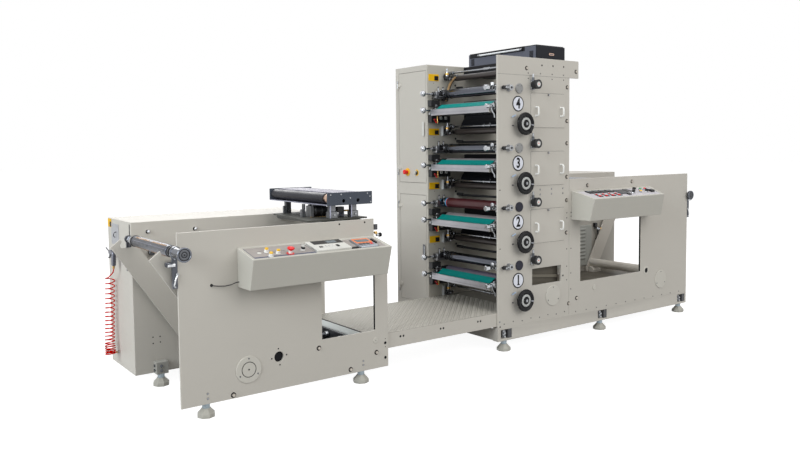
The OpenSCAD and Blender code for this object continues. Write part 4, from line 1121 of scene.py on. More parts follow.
def add_right_controls():
    """Four speed meters, their rockers, a drive display and the run buttons."""
    place = console_place(REWIND_CONSOLE)
    top = PANEL_TOP
    kit = Shape(BLACK, RED, DISPLAY, WHITE, GREEN, YELLOW, CHROME, DARK_GREY)
    for i in range(4):
        x = 117.5 + 79 * i
        kit.plate("Z", rounded(x, 150, x + 65, 212, 3), [], top, top + 8, 0, 1.6, place)
        # Left and right edge, lower and upper edge, underside and top, material, chamfer
        for x0, x1, y0, y1, z0, z1, material, chamfer in ((8, 57, 184, 205, 7, 9, 2, 0.6),
                                                          (8, 20, 157, 168, 7, 10, 7, 0.6),
                                                          (28, 40, 157, 168, 7, 10, 7, 0.6),
                                                          (16, 46, 100, 124, 0, 3, 0, 1),
                                                          (24, 38, 106, 118, 2, 8, 1, 1.5),
                                                          (8, 55, 55, 88, 0, 3, 0, 1),
                                                          (15, 36, 61, 80, 2, 9, 1, 2),
                                                          (44, 52, 58, 85, 2, 6, 0, 1)):
            kit.block((x + x0, y0, top + z0), (x + x1, y1, top + z1), material, chamfer, place)
    kit.plate("Z", rounded(440, 92, 555, 195, 5), [], top, top + 7, 7, 2, place)
    kit.block((452, 102, top + 6.5), (543, 186, top + 8), 2, 0.6, place)
    kit.plate("Z", rounded(578, 142, 640, 206, 4), [], top, top + 6, 7, 1.4, place)
    kit.block((492, 58, top), (528, 84, top + 10), 0, 2, place)
    for x, y, turn in ((681, 158, 0.9), (600, 100, -0.5)):
        knob_with_pointer(kit, place, x, y, 17, 30, 0, 6, turn)
    for x, y, cap in ((767, 160, 4), (703, 105, 5), (830, 160, 1)):
        push_button(kit, place, x, y, 15, 20, cap, 6)
    knob_with_pointer(kit, place, 780, 103, 17, 30, 0, 6, 0.2)
    kit.plate("Z", rounded(840, 92, 882, 130, 4), [], top, top + 18, 0, 2.5, place)
    for i in range(9):
        kit.block((140 + 82 * i, 34, top), (168 + 82 * i, 36, top + 0.4), 7, 0, place)
    return kit.beside("rewind_controls", "console_controls")


add_right_controls()


# ------------------------------------------------------------------ web guide
GUIDE_TOP = plastic("guide_top_laminate", (0.23, 0.22, 0.27), 0.4, depth=0.00004, gloss=0.1)
GUIDE_RAIL = bare_metal("guide_rail_metal", (0.36, 0.37, 0.46), 0.4)


def add_guide_frame():
    """The web guide's swivelling frame."""
    low, high = span("guide_frame")
    x0, x1, y0, y1, z1 = low[0], high[0], low[1], high[1], high[2]
    z0 = z1 - 83
    guide = Shape(GUIDE_COAT, GUIDE_TOP, GUIDE_RAIL, STEEL)
    windows = [circle(1118, z0 + 27, 12, 28), circle(1228, z0 + 27, 12, 28)]
    outline = rounded(x0, z0, x1, z1, 5)
    for y in (y0, y1 - 8):
        guide.plate("Y", outline, windows, y, y + 8, 0, 0.8)
    guide.block((x0 + 72, y0 + 8, z1 - 9), (x1 - 72, y1 - 8, z1 - 3), 1, 0.8)
    guide.block((x0 + 2, y0 + 6, z0), (x1 - 2, y1 - 6, z0 + 6), 2, 0.8)
    for x in (x0 + 78, x1 - 84):
        guide.block((x, y0 + 8, z0 + 6), (x + 6, y1 - 8, z1 - 9), 0)
    for x, z in ((1020, z1 - 14), (1098, z1 - 14), (1300, z1 - 14), (1320, z1 - 34), (1168, z0 + 44),
                 (1326, z0 + 12)):
        guide.rod("Y", (x, 0, z), y0 - 2.5, y0 + 1, 5, 3, 16, 0.8)
    guide.rod("Z", (1167, 439, 0), low[2], z0, 20, 3, 32)
    return guide.stand_in("web_guide_frame", "guide_frame")


def add_guide_roller(node):
    """A guide roller with a belt pulley at its operator's end."""
    x, _, z = middle(node)
    low, high = span(node)
    roller = Shape(GUIDE_RUBBER, BRASS_RING, STEEL)
    y0, y1 = low[1] + 11, high[1] - 11
    roller.lathe("Y", (x, 0, z), [(y0 + 60, 31), (y0 + 62, 33), (y1 - 3, 33), (y1, 31)], 0, 48)
    roller.lathe("Y", (x, 0, z), [(y0, 26), (y0 + 4, 34), (y0 + 12, 34), (y0 + 16, 26), (y0 + 22, 34),
                                  (y0 + 30, 34), (y0 + 34, 27), (y0 + 62, 27)], 1, 40)
    roller.rod("Y", (x, 0, z), low[1], high[1], 9.9, 2, 24, 0.5)
    return roller.stand_in(node + "_body", node)


BRASS_RING = chrome("pulley_metal", (0.56, 0.40, 0.31), 0.26)
GUIDE_RUBBER = plastic("guide_roller_rubber", (0.028, 0.028, 0.034), 0.34, gloss=0.12)
add_guide_frame()
for roller_node in ("guide_roller_1", "guide_roller_2"):
    add_guide_roller(roller_node)


def add_guide_base():
    """Base plate, legs, swivel post and the actuator under the web guide."""
    low, high = span("guide_base")
    floor_z, top = low[2], high[2]
    base = Shape(GUIDE_BASE_SHADE, DARK_STEEL, BLACK, STEEL, GUIDE_RAIL, BRASS, BLOCK_METAL, DARK_GREY)
    # Base plate in a near-black coat, painted shade for the shadow on its top
    base.plate("Z", [(868.5, 60.5), (1313.5, 60.5), (1313.5, 719.5), (962, 719.5)], [], floor_z, floor_z + 10,
               0, 1.2)
    # Dark angle legs on the drive side and in the middle, pale ones on clamp blocks at the operator's side
    for x, y, half in ((1060, 690, 25), (1262, 690, 25), (980, 318, 11)):
        base.block((x - half, y - 5, floor_z + 10), (x + half, y + 3, top), 1, 0.8)
        base.block((x - half, y - 25, floor_z + 10), (x - half + 8, y + 3, top), 1, 0.8)
        base.rod("Y", (x + 4, 0, floor_z + 32), y - 10, y - 5, 7, 3, 6)
        base.block((x - half - 14, y - 12, floor_z + 10), (x - half, y + 2, floor_z + 62), 6, 1)
    for x, y in ((1088, 130), (1250, 130)):
        base.block((x - 32, y - 25, floor_z + 10), (x + 24, y + 25, floor_z + 52), 6, 1.5)
        base.block((x - 24, y - 20, floor_z + 52), (x + 14, y + 20, top), 6, 1.5)
        base.block((x - 33, y - 27, floor_z + 10), (x - 26, y - 20, top), 4, 0.8)
        base.rod("Y", (x, 0, floor_z + 31), y - 31, y - 25, 7, 3, 6)
    base.block((1120, 390, floor_z + 10), (1214, 488, floor_z + 40), 1, 2)
    base.rod("Z", (1167, 439, 0), floor_z + 40, top, 44, 1, 40, 1)
    base.rod("X", (0, 318, floor_z + 47), 1048, 1144, 36, 2, 40, 3)
    for x in (1056, 1100, 1136):
        base.rod("X", (0, 318, floor_z + 47), x, x + 5, 37.2, 7, 40, 0.8)
    base.rods("X", (0, 318, floor_z + 47), (1144, 1176, 24, 1, 32, 1), (1176, 1196, 8, 3, 20))
    base.block((1016, 286, floor_z + 10), (1040, 350, floor_z + 82), 6, 1)
    base.block((1000, 250, floor_z + 10), (1150, 268, floor_z + 13), 5, 0.6)
    base.block((1200, 176, floor_z + 10), (1208, 236, floor_z + 66), 4, 0.8)
    base.block((1140, 150, floor_z + 40), (1192, 190, floor_z + 78), 2, 2)
    base.rod("X", (0, 206, floor_z + 46), 1192, 1262, 6, 5, 20)
    return base.stand_in("web_guide_base", "guide_base")


# Near-black coat: painted shade on the guide's base plate
GUIDE_BASE_SHADE = powder_coat("guide_base_painted_shade_coat", (0.075, 0.075, 0.068), 0.55)
BLOCK_METAL = bare_metal("clamp_block_metal", (0.20, 0.205, 0.215), 0.42, metallic=0.7)
add_guide_base()


# ------------------------------------------------------------------ air shafts
def add_air_shaft(node, strips):
    """An expanding shaft: a steel tube with clamping strips, a hub at the operator's end."""
    x, _, z = middle(node)
    low, high = span(node)
    shaft = Shape(AIR_METAL, ORANGE_STRIP, BLACK, DARK_STEEL, STEEL, BRIGHT_KNOB, SHAFT_HIGHLIGHT, HUB_METAL)
    y0, y1 = 26, high[1] - 24
    ring_y = y1 - 140
    shaft.rods("Y", (x, 0, z), (y0 + 26, ring_y - 4, 34, 0, 64, 2), (y0, y0 + 20, 30, 2, 48, 2),
               (y0 + 18, ring_y + 20, 28, 2, 48))
    # Black ring, bright cone and nut towards the drive side
    shaft.rod("Y", (x, 0, z), ring_y, ring_y + 18, 36.5, 2, 56, 2)
    shaft.lathe("Y", (x, 0, z), [(ring_y + 20, 31), (ring_y + 46, 31), (ring_y + 96, 19), (ring_y + 108, 18)],
                5, 48)
    shaft.rod("Y", (x, 0, z), ring_y + 108, ring_y + 128, 23, 7, 6, 2)
    for i, turn in enumerate(strips):
        place = turned((x, 0, z), math.radians(turn))
        for a, b in ((y0 + 60, y0 + 300), (y0 + 345, ring_y - 50)):
            shaft.block((-5.4, a, 32.6), (5.4, b, 34.9), 3 if i % 2 else 1, 0.4, place)
        for i in range(8):
            y = y0 + 80 + (ring_y - y0 - 140) * i / 7
            shaft.rod("Z", (0, y, 0), 33.8, 35.2, 2.6, 4, 10, 0, place)
        groove = place @ Matrix.Rotation(math.radians(33), 4, "Y")
        shaft.block((-1.6, y0 + 40, 33.2), (1.6, ring_y - 20, 34.2), 3, 0.2, groove)
        # Lighter strip along the shaft: a painted highlight
        highlight_place = place @ Matrix.Rotation(math.radians(20), 4, "Y")
        shaft.block((-3.2, y0 + 50, 33.2), (3.2, ring_y - 30, 34.25), 6, 0.3, highlight_place)
    shaft.rod("Y", (x, 0, z), low[1] + 12, high[1], 11.95, 4, 32, 0.5)
    end = low[1]
    shaft.lathe("Y", (x, 0, z), [(-8, 20), (-8, 33), (-10, 35), (max(end + 20, -26), 35),
                                 (max(end + 20, -28), 32), (end + 19, 31.5), (end + 19, 39.5), (end + 17, 41),
                                 (end + 1.5, 41), (end, 39.5), (end, 34), (end + 1, 33), (end + 9, 33),
                                 (end + 9, 6)], 7, 64)
    shaft.lathe("Y", (x, 0, z), [(end + 8.8, 32.5), (end + 8.8, 29), (end + 3, 28.5), (end + 2.5, 27.5),
                                 (end + 2.5, 18), (end + 3, 17), (end + 6, 16.5), (end + 8.8, 16)], 3, 56)
    shaft.lathe("Y", (x, 0, z), [(end + 8.6, 33), (end + 8.2, 30)], 2, 56)
    shaft.lathe("Y", (x, 0, z), [(end + 5.8, 17), (end + 5.8, 13)], 2, 48)
    shaft.lathe("Y", (x, 0, z), [(end + 6.4, 13.5), (end + 3, 13), (end + 2.4, 12), (end + 2.4, 5),
                                 (end + 7, 4.5)], 3, 40)
    shaft.rod("Y", (x, 0, z), end + 5.4, end + 7, 5.4, 2, 24)
    return shaft.stand_in(node + "_body", node, smooth=40)


AIR_METAL = bare_metal("shaft_metal", (0.066, 0.072, 0.092), 0.30, (60, 1, 60))
# Lighter metal for painted highlights along the shafts
SHAFT_HIGHLIGHT = bare_metal("shaft_painted_highlight_metal", (0.155, 0.165, 0.20), 0.24, (60, 1, 60))
HUB_METAL = chrome("hub_metal", (0.15, 0.16, 0.185), 0.18)
BRIGHT_KNOB = chrome("knob_chrome", (0.46, 0.475, 0.50), 0.16)
add_air_shaft("unwind_air_shaft", (-26, 34, 94, 154, 214, 274))
add_air_shaft("rewind_air_shaft", (0, 60, 120, 180, 240, 300))


def add_bracket_fittings():
    """Clamp levers and knurled studs on the operator's hanging bars."""
    kit = Shape(BRIGHT_STUD, STEEL)
    for x, z, side in ((-15, 895, -1), (4838, 1000, 1)):
        stud_z = z - 70 if side < 0 else z - 40
        kit.rod("X", (0, 6, stud_z), x + side * 4, x + side * 38, 15, 0, 28, 5)
        for i in range(3):
            kit.rod("X", (0, 6, stud_z), x + side * (12 + 8 * i), x + side * (14 + 8 * i), 15.3, 1, 28)
        kit.tube([(x - side * 12, -4, z - 128), (x - side * 8, -8, z - 137), (x - side * 2, -9, z - 148),
                  (x + side * 2, -8, z - 160), (x + side * 5, -7, z - 176), (x + side * 7, -4, z - 184)], 4.6,
                 0, 14)
        kit.rod("Y", (x - side * 11, 0, z - 126), -9, 0, 9, 1, 24, 1)
        kit.rod("Y", (x + side * 6, 0, z - 190), -3, 0, 5, 1, 20, 1)
        for dz in (-196, -38):
            kit.rod("Y", (x, 0, z + dz), -1, 0.3, 5, 1, 16, 0.3)
    return kit.beside("bracket_fittings", "shaft_brackets")


add_bracket_fittings()


# ------------------------------------------------------------------ feet and walkway
def add_feet():
    """Levelling feet: eight-sided pads, threaded stems, nuts and their blocks."""
    feet = Shape(FOOT_PAD, STEM_COAT, BLOCK_GREY, DARK_STEEL)
    places = [(x, y) for x in (157, 1229) for y in (32, 792, 1273)]
    places += [(2525, 32), (3635, 32), (4745, 32), (2525, 1212), (3635, 1273), (4745, 1273)]
    for x, y in places:
        feet.lathe("Z", (x, y, -80), [(0, 50), (2, 53), (22, 53), (25, 51), (48, 29), (52, 27)], 0, 8)
        feet.rod("Z", (x, y, 0), -52, 0, 22, 1, 28)
        for i in range(6):
            feet.rod("Z", (x, y, 0), -30 + 4 * i, -28 + 4 * i, 22.8, 1, 28, 0.8)
        feet.rod("Z", (x, y, 0), -6, 0, 25, 1, 28, 1)
    for x in (157, 1229):
        feet.block((x - 30, 15, 0), (x + 30, 62, 70), 2, 1.5)
        feet.block((x - 39, 760, 0), (x + 41, HOUSING_FACE, 80), 2, 2)
        for z in (24, 54):
            feet.rods("Y", (x - 8, 0, z), (752, 760, 9, 3, 24, 1), (751.5, 752.2, 4, 3, 6))
            feet.rod("X", (0, 790, z), x - 46, x - 39, 9, 3, 24, 1)
    return feet.stand_in("levelling_feet", "level_feet")


FOOT_PAD = plastic("foot_pad", (0.40, 0.39, 0.35), 0.4)
STEM_COAT = bare_metal("stem_metal", (0.36, 0.42, 0.46), 0.3, metallic=0.6)
BLOCK_GREY = powder_coat("block_coat", (0.33, 0.325, 0.30), 0.42)
add_feet()


def tread_pattern(name, low, high, level, step, size):
    """Raised lozenges in alternate directions over a floor plate, in a lighter coat as a painted highlight,
    by a node tree.
    """
    (x0, y0), (x1, y1) = low, high
    sizes = ("Lozenge length", "Lozenge width", "Lozenge height")
    holder, group, enter = start_tree(
        name, [(x0, y0, level), (x1, y0, level), (x1, y1, level), (x0, y1, level)], [(0, 1, 2, 3)],
        ("Length", "Width", *sizes), ("Columns", "Rows"))
    grid = add_node(group, "GeometryNodeMeshGrid", {
        "Size X": enter["Length"], "Size Y": enter["Width"],
        "Vertices X": enter["Columns"], "Vertices Y": enter["Rows"]})
    cone = add_node(group, "GeometryNodeMeshCone", {
        "Vertices": 6, "Side Segments": 1, "Radius Top": 0.55, "Radius Bottom": 1.0, "Depth": 1.0})
    scale = add_node(group, "ShaderNodeCombineXYZ", {axis: enter[label] for axis, label in zip("XYZ", sizes)})
    lozenge = add_node(group, "GeometryNodeTransform", {"Geometry": cone, "Scale": scale})
    # Every second lozenge of a row, and of a column, is turned the other way
    number = group.nodes.new("GeometryNodeInputIndex").outputs[0]
    row = add_math(group, "FLOOR", add_math(group, "DIVIDE", number, enter["Rows"]))
    odd = add_math(group, "FLOORED_MODULO", add_math(group, "ADD", row, number), 2)
    turn = add_math(group, "MULTIPLY_ADD", odd, math.pi / 2, math.pi / 4)
    angles = add_node(group, "ShaderNodeCombineXYZ", {"Z": turn})
    made = painted(group, copies_on(group, grid, lozenge, {"Rotation": angles}), LIT_TREAD_RIDGE)
    mesh = grow(name, holder, group, made, {
        "Length": float(x1 - x0), "Width": float(y1 - y0), **dict(zip(sizes, size)),
        "Columns": int((x1 - x0) / step) + 1, "Rows": int((y1 - y0) / step) + 1,
    }, Matrix.Translation(((x0 + x1) / 2, (y0 + y1) / 2, level)))
    return place_mesh(name, mesh, ROOT)


TREAD = powder_coat("tread_coat", (0.315, 0.30, 0.268), 0.45, tone=0.06)
# The lozenges' lighter coat is a painted highlight on their raised tops
LIT_TREAD_RIDGE = powder_coat("tread_ridge_painted_highlight_coat", (0.47, 0.45, 0.405), 0.38, tone=0.06)
chamfered("walkway", TREAD, 1.5)
tread_pattern("tread_lozenges", (1342, 34), (2690, 812), 218.0, 28.0, (15.0, 5.0, 2.4))


def add_walkway_front():
    """The walkway's painted side, over the tread sheet's edge."""
    side = Shape(CREAM, SIGN_BLACK)
    holes = [circle(1556 + 353 * i + dx, 180, 8, 20) for i in range(3) for dx in (-13, 13)]
    side.plate("Y", [(1431, 115.5), (2436, 115.5), (2436, 216.5), (1431, 216.5)], holes, 14.2, 15.2, 0, 0.3)
    # Black discs behind the side's holes: painted shade
    for i in range(3):
        for dx in (-13, 13):
            side.rod("Y", (1556 + 353 * i + dx, 0, 180), 16, 20, 8.2, 1, 20)
    return side.beside("walkway_side", "walkway")


add_walkway_front()


# ------------------------------------------------------------------ operator's side plates
def add_side_plates():
    """The three plates on the operator's side, with their windows and bores."""
    unwind = Shape(CREAM, SIGN_BLACK)
    bolts = [circle(x, z, 4.25, 16) for x, _, z in bolt_circle(BORE, *BORE_SCREWS)]
    unwind.plate("Y", [(0, 0), (1430, 0), (1430, 760), (1324, 760), (1324, 1000), (0, 1000)],
                 [rounded(921, 255, 1326, 700, 3), circle(BORE[0], BORE[2], 32, 48), *bolts], 0, PLATE, 0,
                 1.2)
    unwind.block((1324.4, 0.8, 262), (1327, 15.2, 693), 1)
    unwind.stand_in("unwind_side_plate", "unwind_front_plate")
    stack = Shape(CREAM)
    doors = [rounded(2801, z + 172, 3140, z + 398, 8) for z in AXIS_Z[:3]]
    right = REWIND_X - 0.6
    stack.plate("Y", [(STACK_X, 105), (right, 105), (right, 1999), (3322, 1999), (3322, 2135),
                      (STACK_X, 2135)], [rounded(2799, 387, 3124, 517, 4), *doors], 0, PLATE, 0, 1.2)
    stack.stand_in("stack_side_plate", "tower_front_plate")
    rewind = Shape(CREAM, SIGN_BLACK)
    left = REWIND_X + 0.6
    rewind.plate("Y", [(left, 105), (4823, 105), (4823, 1200), (left, 1200)],
                 [rounded(3354, 357, 4137, 860, 3), circle(REWIND_BORE[0], REWIND_BORE[2], 22, 40)], 0, PLATE,
                 0, 1.2)
    rewind.lathe("Y", REWIND_BORE, [(-2, 22), (-2, 30), (0.5, 31), (0.5, 22), (-2, 22)], 0, 40)
    rewind.block((4135.4, 0.8, 364), (4138, 15.2, 853), 1)
    # Black disc inside the rewind's bore: painted shade
    rewind.rod("Y", REWIND_BORE, 2.5, 5, 22.2, 1, 40)
    rewind.stand_in("rewind_side_plate", "rewind_front_plate")


add_side_plates()


# ------------------------------------------------------------------ controls on the stack's plate
def add_register_controls():
    """Register adjusters and pressure dials beside each station."""
    kit = Shape(CHROME, BLACK, WHITE, RED, STEEL, DARK_STEEL)
    for z in AXIS_Z:
        adjuster = (2546, 0, z)
        kit.rods("Y", adjuster, (-6, 0, 26, 4, 36, 1), (-36, -6, 22, 4, 36, 3), (-38, -36, 9, 1, 24, 0.5))
        kit.rod("X", (0, -22, z), 2468, 2530, 9, 4, 24)
        for i, r in enumerate((13, 15, 12, 15, 12)):
            kit.rod("X", (0, -22, z), 2468 + 8 * i, 2474 + 8 * i, r, 1, 18, 1.6)
        kit.rods("Y", (2478, 0, z), (-50, -20, 12.5, 1, 10, 2), (-52, -49, 8, 4, 20, 0.6), (-22, 0, 7, 4, 20))
        zd = z + 32
        dial = (2796, 0, zd)
        kit.block((2774, -14, zd - 37), (2814, 0, zd + 37), 0, 2)
        for dz in (-31, 31):
            kit.rod("Y", (2778, 0, zd + dz), -15.5, -13.5, 3.4, 5, 12)
        for i, r in enumerate((30, 34, 31, 34.5, 31, 34)):
            kit.rod("Y", dial, -22 - 8 * i, -13 - 8 * i, r, 1, 32, 1.6)
        kit.lathe("Y", dial, [(-60, 35.5), (-70, 36), (-72, 33), (-72, 20.5), (-70.5, 19.5), (-62, 19.5),
                              (-60, 35.5)], 1, 40)
        kit.rods("Y", dial, (-70.6, -60, 20, 2, 40), (-71.4, -70, 4.5, 3, 20))
        for i in range(12):
            place = turned((2796, -70.8, zd), i * math.pi / 6)
            kit.block((-0.8, -0.3, 13.5), (0.8, 0.3, 18.2), 1, 0, place)
        kit.rods("Z", (2783, -24, 0), (zd + 20, zd + 52, 11, 5, 24, 1.5), (zd + 52, zd + 80, 8, 4, 24, 1.5))
    kit.rod("X", (0, -30, 562), 2806, 2836, 9, 0, 20, 2)
    return kit.stand_in("register_fittings", "register_controls")


add_register_controls()

POINTER_BLUE = plastic("pointer_blue", (0.42, 0.52, 0.66), 0.3)


def add_handwheel(k):
    """A dished black wheel with a grey scale ring, on the rod that crosses the web."""
    node = f"handwheel_{k + 1}"
    x, _, z = WHEELS[k]
    high = span(node)[1]
    wheel = Shape(BLACK_GLOSS, GREY_RING, STEEL, SHAFT_CHROME, DARK_STEEL)
    wheel.lathe("Y", (x, 0, z), [(-40, 14), (-58, 16), (-58, 28), (-55, 30), (-55, 46), (-53, 50), (-52, 56),
                                 (-56, 61), (-61, 67), (-62.5, 74), (-60, 81), (-54, 85.6), (-47, 85.6),
                                 (-41, 81), (-39, 74), (-40, 66), (-43, 58), (-44, 40), (-40, 30), (-38, 14),
                                 (-40, 14)], 0, 72)
    wheel.lathe("Y", (x, 0, z), [(-55, 30), (-59, 31), (-60, 33), (-60, 44), (-58.5, 46.5), (-54, 47),
                                 (-55, 30)], 1, 64)
    for i in range(24):
        place = turned((x, -60, z), i * math.pi / 12)
        wheel.block((-0.5, -0.4, 38), (0.5, 0.3, 43.5), 0, 0, place)
    wheel.lathe("Y", (x, 0, z), [(-58, 27), (-61, 25), (-61, 12), (-58, 11)], 0, 40)
    wheel.hexagon("Y", (x, 0, z), -66, -60, 20, 2)
    wheel.rod("Y", (x, 0, z), -69, -65, 6, 2, 20, 1)
    place = turned((x, 0, z), 0.15)
    wheel.rod("X", (0, -63, 0), 46, 66, 4, 3, 16, 1, place)
    wheel.ball((66, -63, 0), 5.5, 3, 16, 1, "X", place)
    if k == 3:
        place = turned((x, 0, z), 0.95)
        wheel.rod("X", (0, -58, 0), 60, 84, 11, 0, 20, 4, place)
    wheel.rods("Y", (x, 0, z), (-50, high[1], 6.95, 3, 28, 0.6), (-20, -0.4, 17, 4, 36, 1),
               (15.4, 27, 15, 4, 32, 1))
    # Clamp collar part way across the web
    wheel.rods("Y", (x, 0, z), (330, 352, 13, 3, 28, 2), (352, 396, 9.5, 3, 28, 1), (396, 418, 13, 3, 28, 2))
    wheel.rod("Z", (x, 341, 0), z + 10, z + 24, 4, 4, 16, 1)
    return wheel.stand_in(node + "_body", node, smooth=40)


BLACK_GLOSS = plastic("black_bakelite", (0.006, 0.006, 0.007), 0.24, gloss=0.16)
for station in STATIONS:
    add_handwheel(station)


def add_wheel_pointers():
    """A blue pointer and its pins beside each handwheel."""
    marks = Shape(POINTER_BLUE, DARK_STEEL)
    for x, _, z in WHEELS:
        place = turned((x - 84, 0, z + 58), -0.35)
        marks.block((-22, -14, -5), (20, -11, 6), 0, 0.8, place)
        marks.rod("Y", (x - 84, 0, z + 58), -13, 0, 4, 1, 16)
        marks.rod("Y", (x - 92, 0, z - 12), -16, 0, 4, 1, 16, 1)
    return marks.beside("wheel_pointers", "register_controls")


add_wheel_pointers()


# ------------------------------------------------------------------ print stations
DARK_CHROME = bare_metal("cylinder_metal", (0.115, 0.122, 0.145), 0.19, (60, 1, 60), change=0.06)
GREY_KNOB = chrome("grey_knob_metal", (0.40, 0.41, 0.43), 0.25)
GUNMETAL = bare_metal("gunmetal", (0.115, 0.12, 0.13), 0.36, metallic=0.85)
CARRIAGE_METAL = bare_metal("carriage_metal", (0.38, 0.385, 0.40), 0.30)
CARRIAGE_DARK = bare_metal("carriage_dark_metal", (0.10, 0.10, 0.11), 0.34)
BLACK_STEEL = bare_metal("black_oxide_steel", (0.035, 0.036, 0.04), 0.38, metallic=0.6)
SLEEVE_BLUE = plastic("sleeve_blue", (0.06, 0.30, 0.50), 0.3)
SLEEVE_RED = plastic("sleeve_red", (0.45, 0.03, 0.03), 0.3)
PLUM_SLEEVE = rubber("plum_sleeve", (0.085, 0.075, 0.11), 0.34)
NEAR_Y, FAR_Y = (PLATE, 75), (770, WALL)


def add_print_cylinder(k):
    """A print cylinder with its sleeve or rings; the second has a maroon sleeve."""
    node = f"print_cylinder_{k + 1}"
    x, _, z = CYLINDERS[k]
    low, high = span(node)
    y0, y1 = 85, 760
    roll = Shape(MAROON if k == 1 else DARK_CHROME, SHAFT_CHROME, BLACK_STEEL, SLEEVE_BLUE, SLEEVE_RED,
                 GUNMETAL)
    if k == 1:
        roll.rods("Y", (x, 0, z), (y0 + 22, y1 - 26, 39.4, 0, 64, 1.5), (y1 - 26, y1 - 19, 39.8, 4, 64, 1),
                  (y1 - 19, y1 - 4, 38.5, 3, 64, 1))
    else:
        far = y1 - (70 if k == 0 else 34)
        roll.rods("Y", (x, 0, z), (y0 + 22, far, 37, 0, 64, 2), (far - 26, far - 12, 39.4, 2, 64, 1.5))
        if k == 0:
            roll.rod("Y", (x, 0, z), far + 14, far + 34, 36, 2, 48, 2)
            for i in range(30):
                place = turned((x, 0, z), i * math.pi / 15)
                roll.block((-2.2, far + 14, 34), (2.2, far + 34, 39), 2, 0.6, place)
    roll.rods("Y", (x, 0, z), (y0, y0 + 14, 38.5, 5, 56, 1.5), (y0 + 14, y0 + 22, 30, 2, 48),
              (y1 - 14, y1, 33, 2, 48, 1.5), (y0, y1, 24, 1, 40), (low[1], high[1], 14.95, 1, 36, 0.8))
    return roll.stand_in(node + "_body", node, smooth=40)


def add_ink_roller(k):
    """The inking roller beside a print cylinder."""
    node = f"ink_roller_{k + 1}"
    x, _, z = INK_ROLLERS[k]
    low, high = span(node)
    roll = Shape(PLUM_SLEEVE if k == 0 else INK_SLEEVE, GUNMETAL, SHAFT_CHROME)
    roll.rods("Y", (x, 0, z), (97, 744, 37.4, 0, 64, 2), (85, 97, 30, 1, 48, 1), (744, 760, 31, 1, 48, 1),
              (low[1], high[1], 9.95, 2, 28, 0.6))
    return roll.stand_in(node + "_body", node, smooth=40)


def add_web_roller(k):
    """The rubber roller that leads the web past a station."""
    node = f"idle_roller_{k + 1}"
    x, _, z = WEB_ROLLERS[k]
    low, high = span(node)
    roll = Shape(ROLLER_BLACK, BLACK_STEEL, SHAFT_CHROME)
    roll.rods("Y", (x, 0, z), (44, 790, 23.5, 0, 48, 1.2), (23, 44, 15, 1, 36, 1), (790, 822, 15, 1, 36, 1),
              (low[1], high[1], 7.95, 2, 28, 0.5))
    return roll.stand_in(node + "_body", node, smooth=40)


for station in STATIONS:
    add_print_cylinder(station)
    add_ink_roller(station)
    add_web_roller(station)


def ball_knob(shape, x, y, z, end, material, stem=4, lever=False):
    """A knob on a threaded stem, with a lock nut; end is where the stem enters its block."""
    shape.ball((x, y, z), 25, material, 28, 0.92)
    shape.rod("X", (0, y, z), x + 14, end, 7, stem, 24)
    for i in range(7):
        shape.rod("X", (0, y, z), end - 46 + 4 * i, end - 44 + 4 * i, 8, stem, 20, 0.8)
    shape.rods("X", (0, y, z), (end - 18, end - 6, 16, 3, 20, 2), (end - 6, end, 12, stem, 20, 1))
    if lever:
        shape.rod("Z", (x + 2, y, 0), z + 12, z + 92, 5, stem, 20, 1.5)


def far_carriage(kit, k, x, z):
    """The drive side's carriage of a print cylinder: slide, split bearing and clamps."""
    y0, y1 = FAR_Y
    kit.block((x - 108, y0 + 4, z - 36), (x + 46, y1, z - 16), 0, 1.5)
    kit.block((x - 108, y0, z - 16), (x - 78, y1, z + 22), 0, 2)
    kit.block((x - 78, y0 + 6, z - 12), (x - 40, y1, z + 14), 1, 2)
    kit.rod("X", (0, y0 + 26, z + 2), x - 78, x - 40, 12, 2, 28, 1)
    kit.lathe("Y", (x, 0, z), [(y0, 15.1), (y0, 36), (y0 + 3, 38), (y1 - 4, 38), (y1, 36), (y1, 15.1),
                               (y0, 15.1)], 1, 48)
    kit.lathe("Y", (x, 0, z), [(y0 - 1.5, 17), (y0 - 1.5, 30), (y0 + 1, 31), (y0 + 1, 17), (y0 - 1.5, 17)], 2,
              40)
    kit.block((x - 34, y0 + 8, z - 38), (x + 34, y1, z - 20), 0, 2)
    arch = [(x - 78, z + 12), (x - 66, z + 26), (x - 44, z + 34), (x - 18, z + 36), (x + 6, z + 38),
            (x + 6, z + 26), (x - 20, z + 22), (x - 48, z + 20), (x - 62, z + 10)]
    kit.plate("Y", arch, [], y0 + 12, y1 - 14, 2, 1.2)
    for dx in (-64, -14):
        kit.rods("Z", (x + dx, y0 + 28, 0), (z + 20, z + 54, 4.5, 2, 18), (z + 54, z + 62, 8.5, 1, 20, 2))
    ball_knob(kit, KNOB_X, y0 + 30, z, x - 108, 5, 2, k == 0)


def near_carriage(kit, x, z):
    """The operator's side carriage, with three bright knobs at the plate's edge."""
    y0, y1 = NEAR_Y
    kit.block((x - 108, y0 + 1, z - 36), (x + 46, y1 - 2, z - 16), 0, 1.5)
    kit.block((x - 108, y0 + 1, z - 16), (x - 60, y1, z + 22), 0, 2)
    kit.lathe("Y", (x, 0, z), [(y0 + 1, 15.1), (y0 + 1, 36), (y0 + 4, 38), (y1 - 3, 38), (y1, 36), (y1, 15.1),
                               (y0 + 1, 15.1)], 1, 48)
    kit.lathe("Y", (x, 0, z), [(y1 - 1, 17), (y1 - 1, 30), (y1 + 1.5, 30), (y1 + 1.5, 17), (y1 - 1, 17)], 2,
              40)
    kit.rods("X", (0, 45, z), (2352, 2388, 20, 4, 36, 4), (2388, 2482, 8, 2, 24))
    for i, r in enumerate((12, 15, 12, 17, 14)):
        kit.rod("X", (0, 45, z), 2398 + 14 * i, 2408 + 14 * i, r, (3, 2, 3, 4, 2)[i], 24, 1.5)
    kit.rod("Z", (2428, 45, 0), z + 16, z + 38, 15, 4, 28, 3)
    kit.rod("X", (0, 34, z + 8), 2412, 2482, 6, 2, 20)


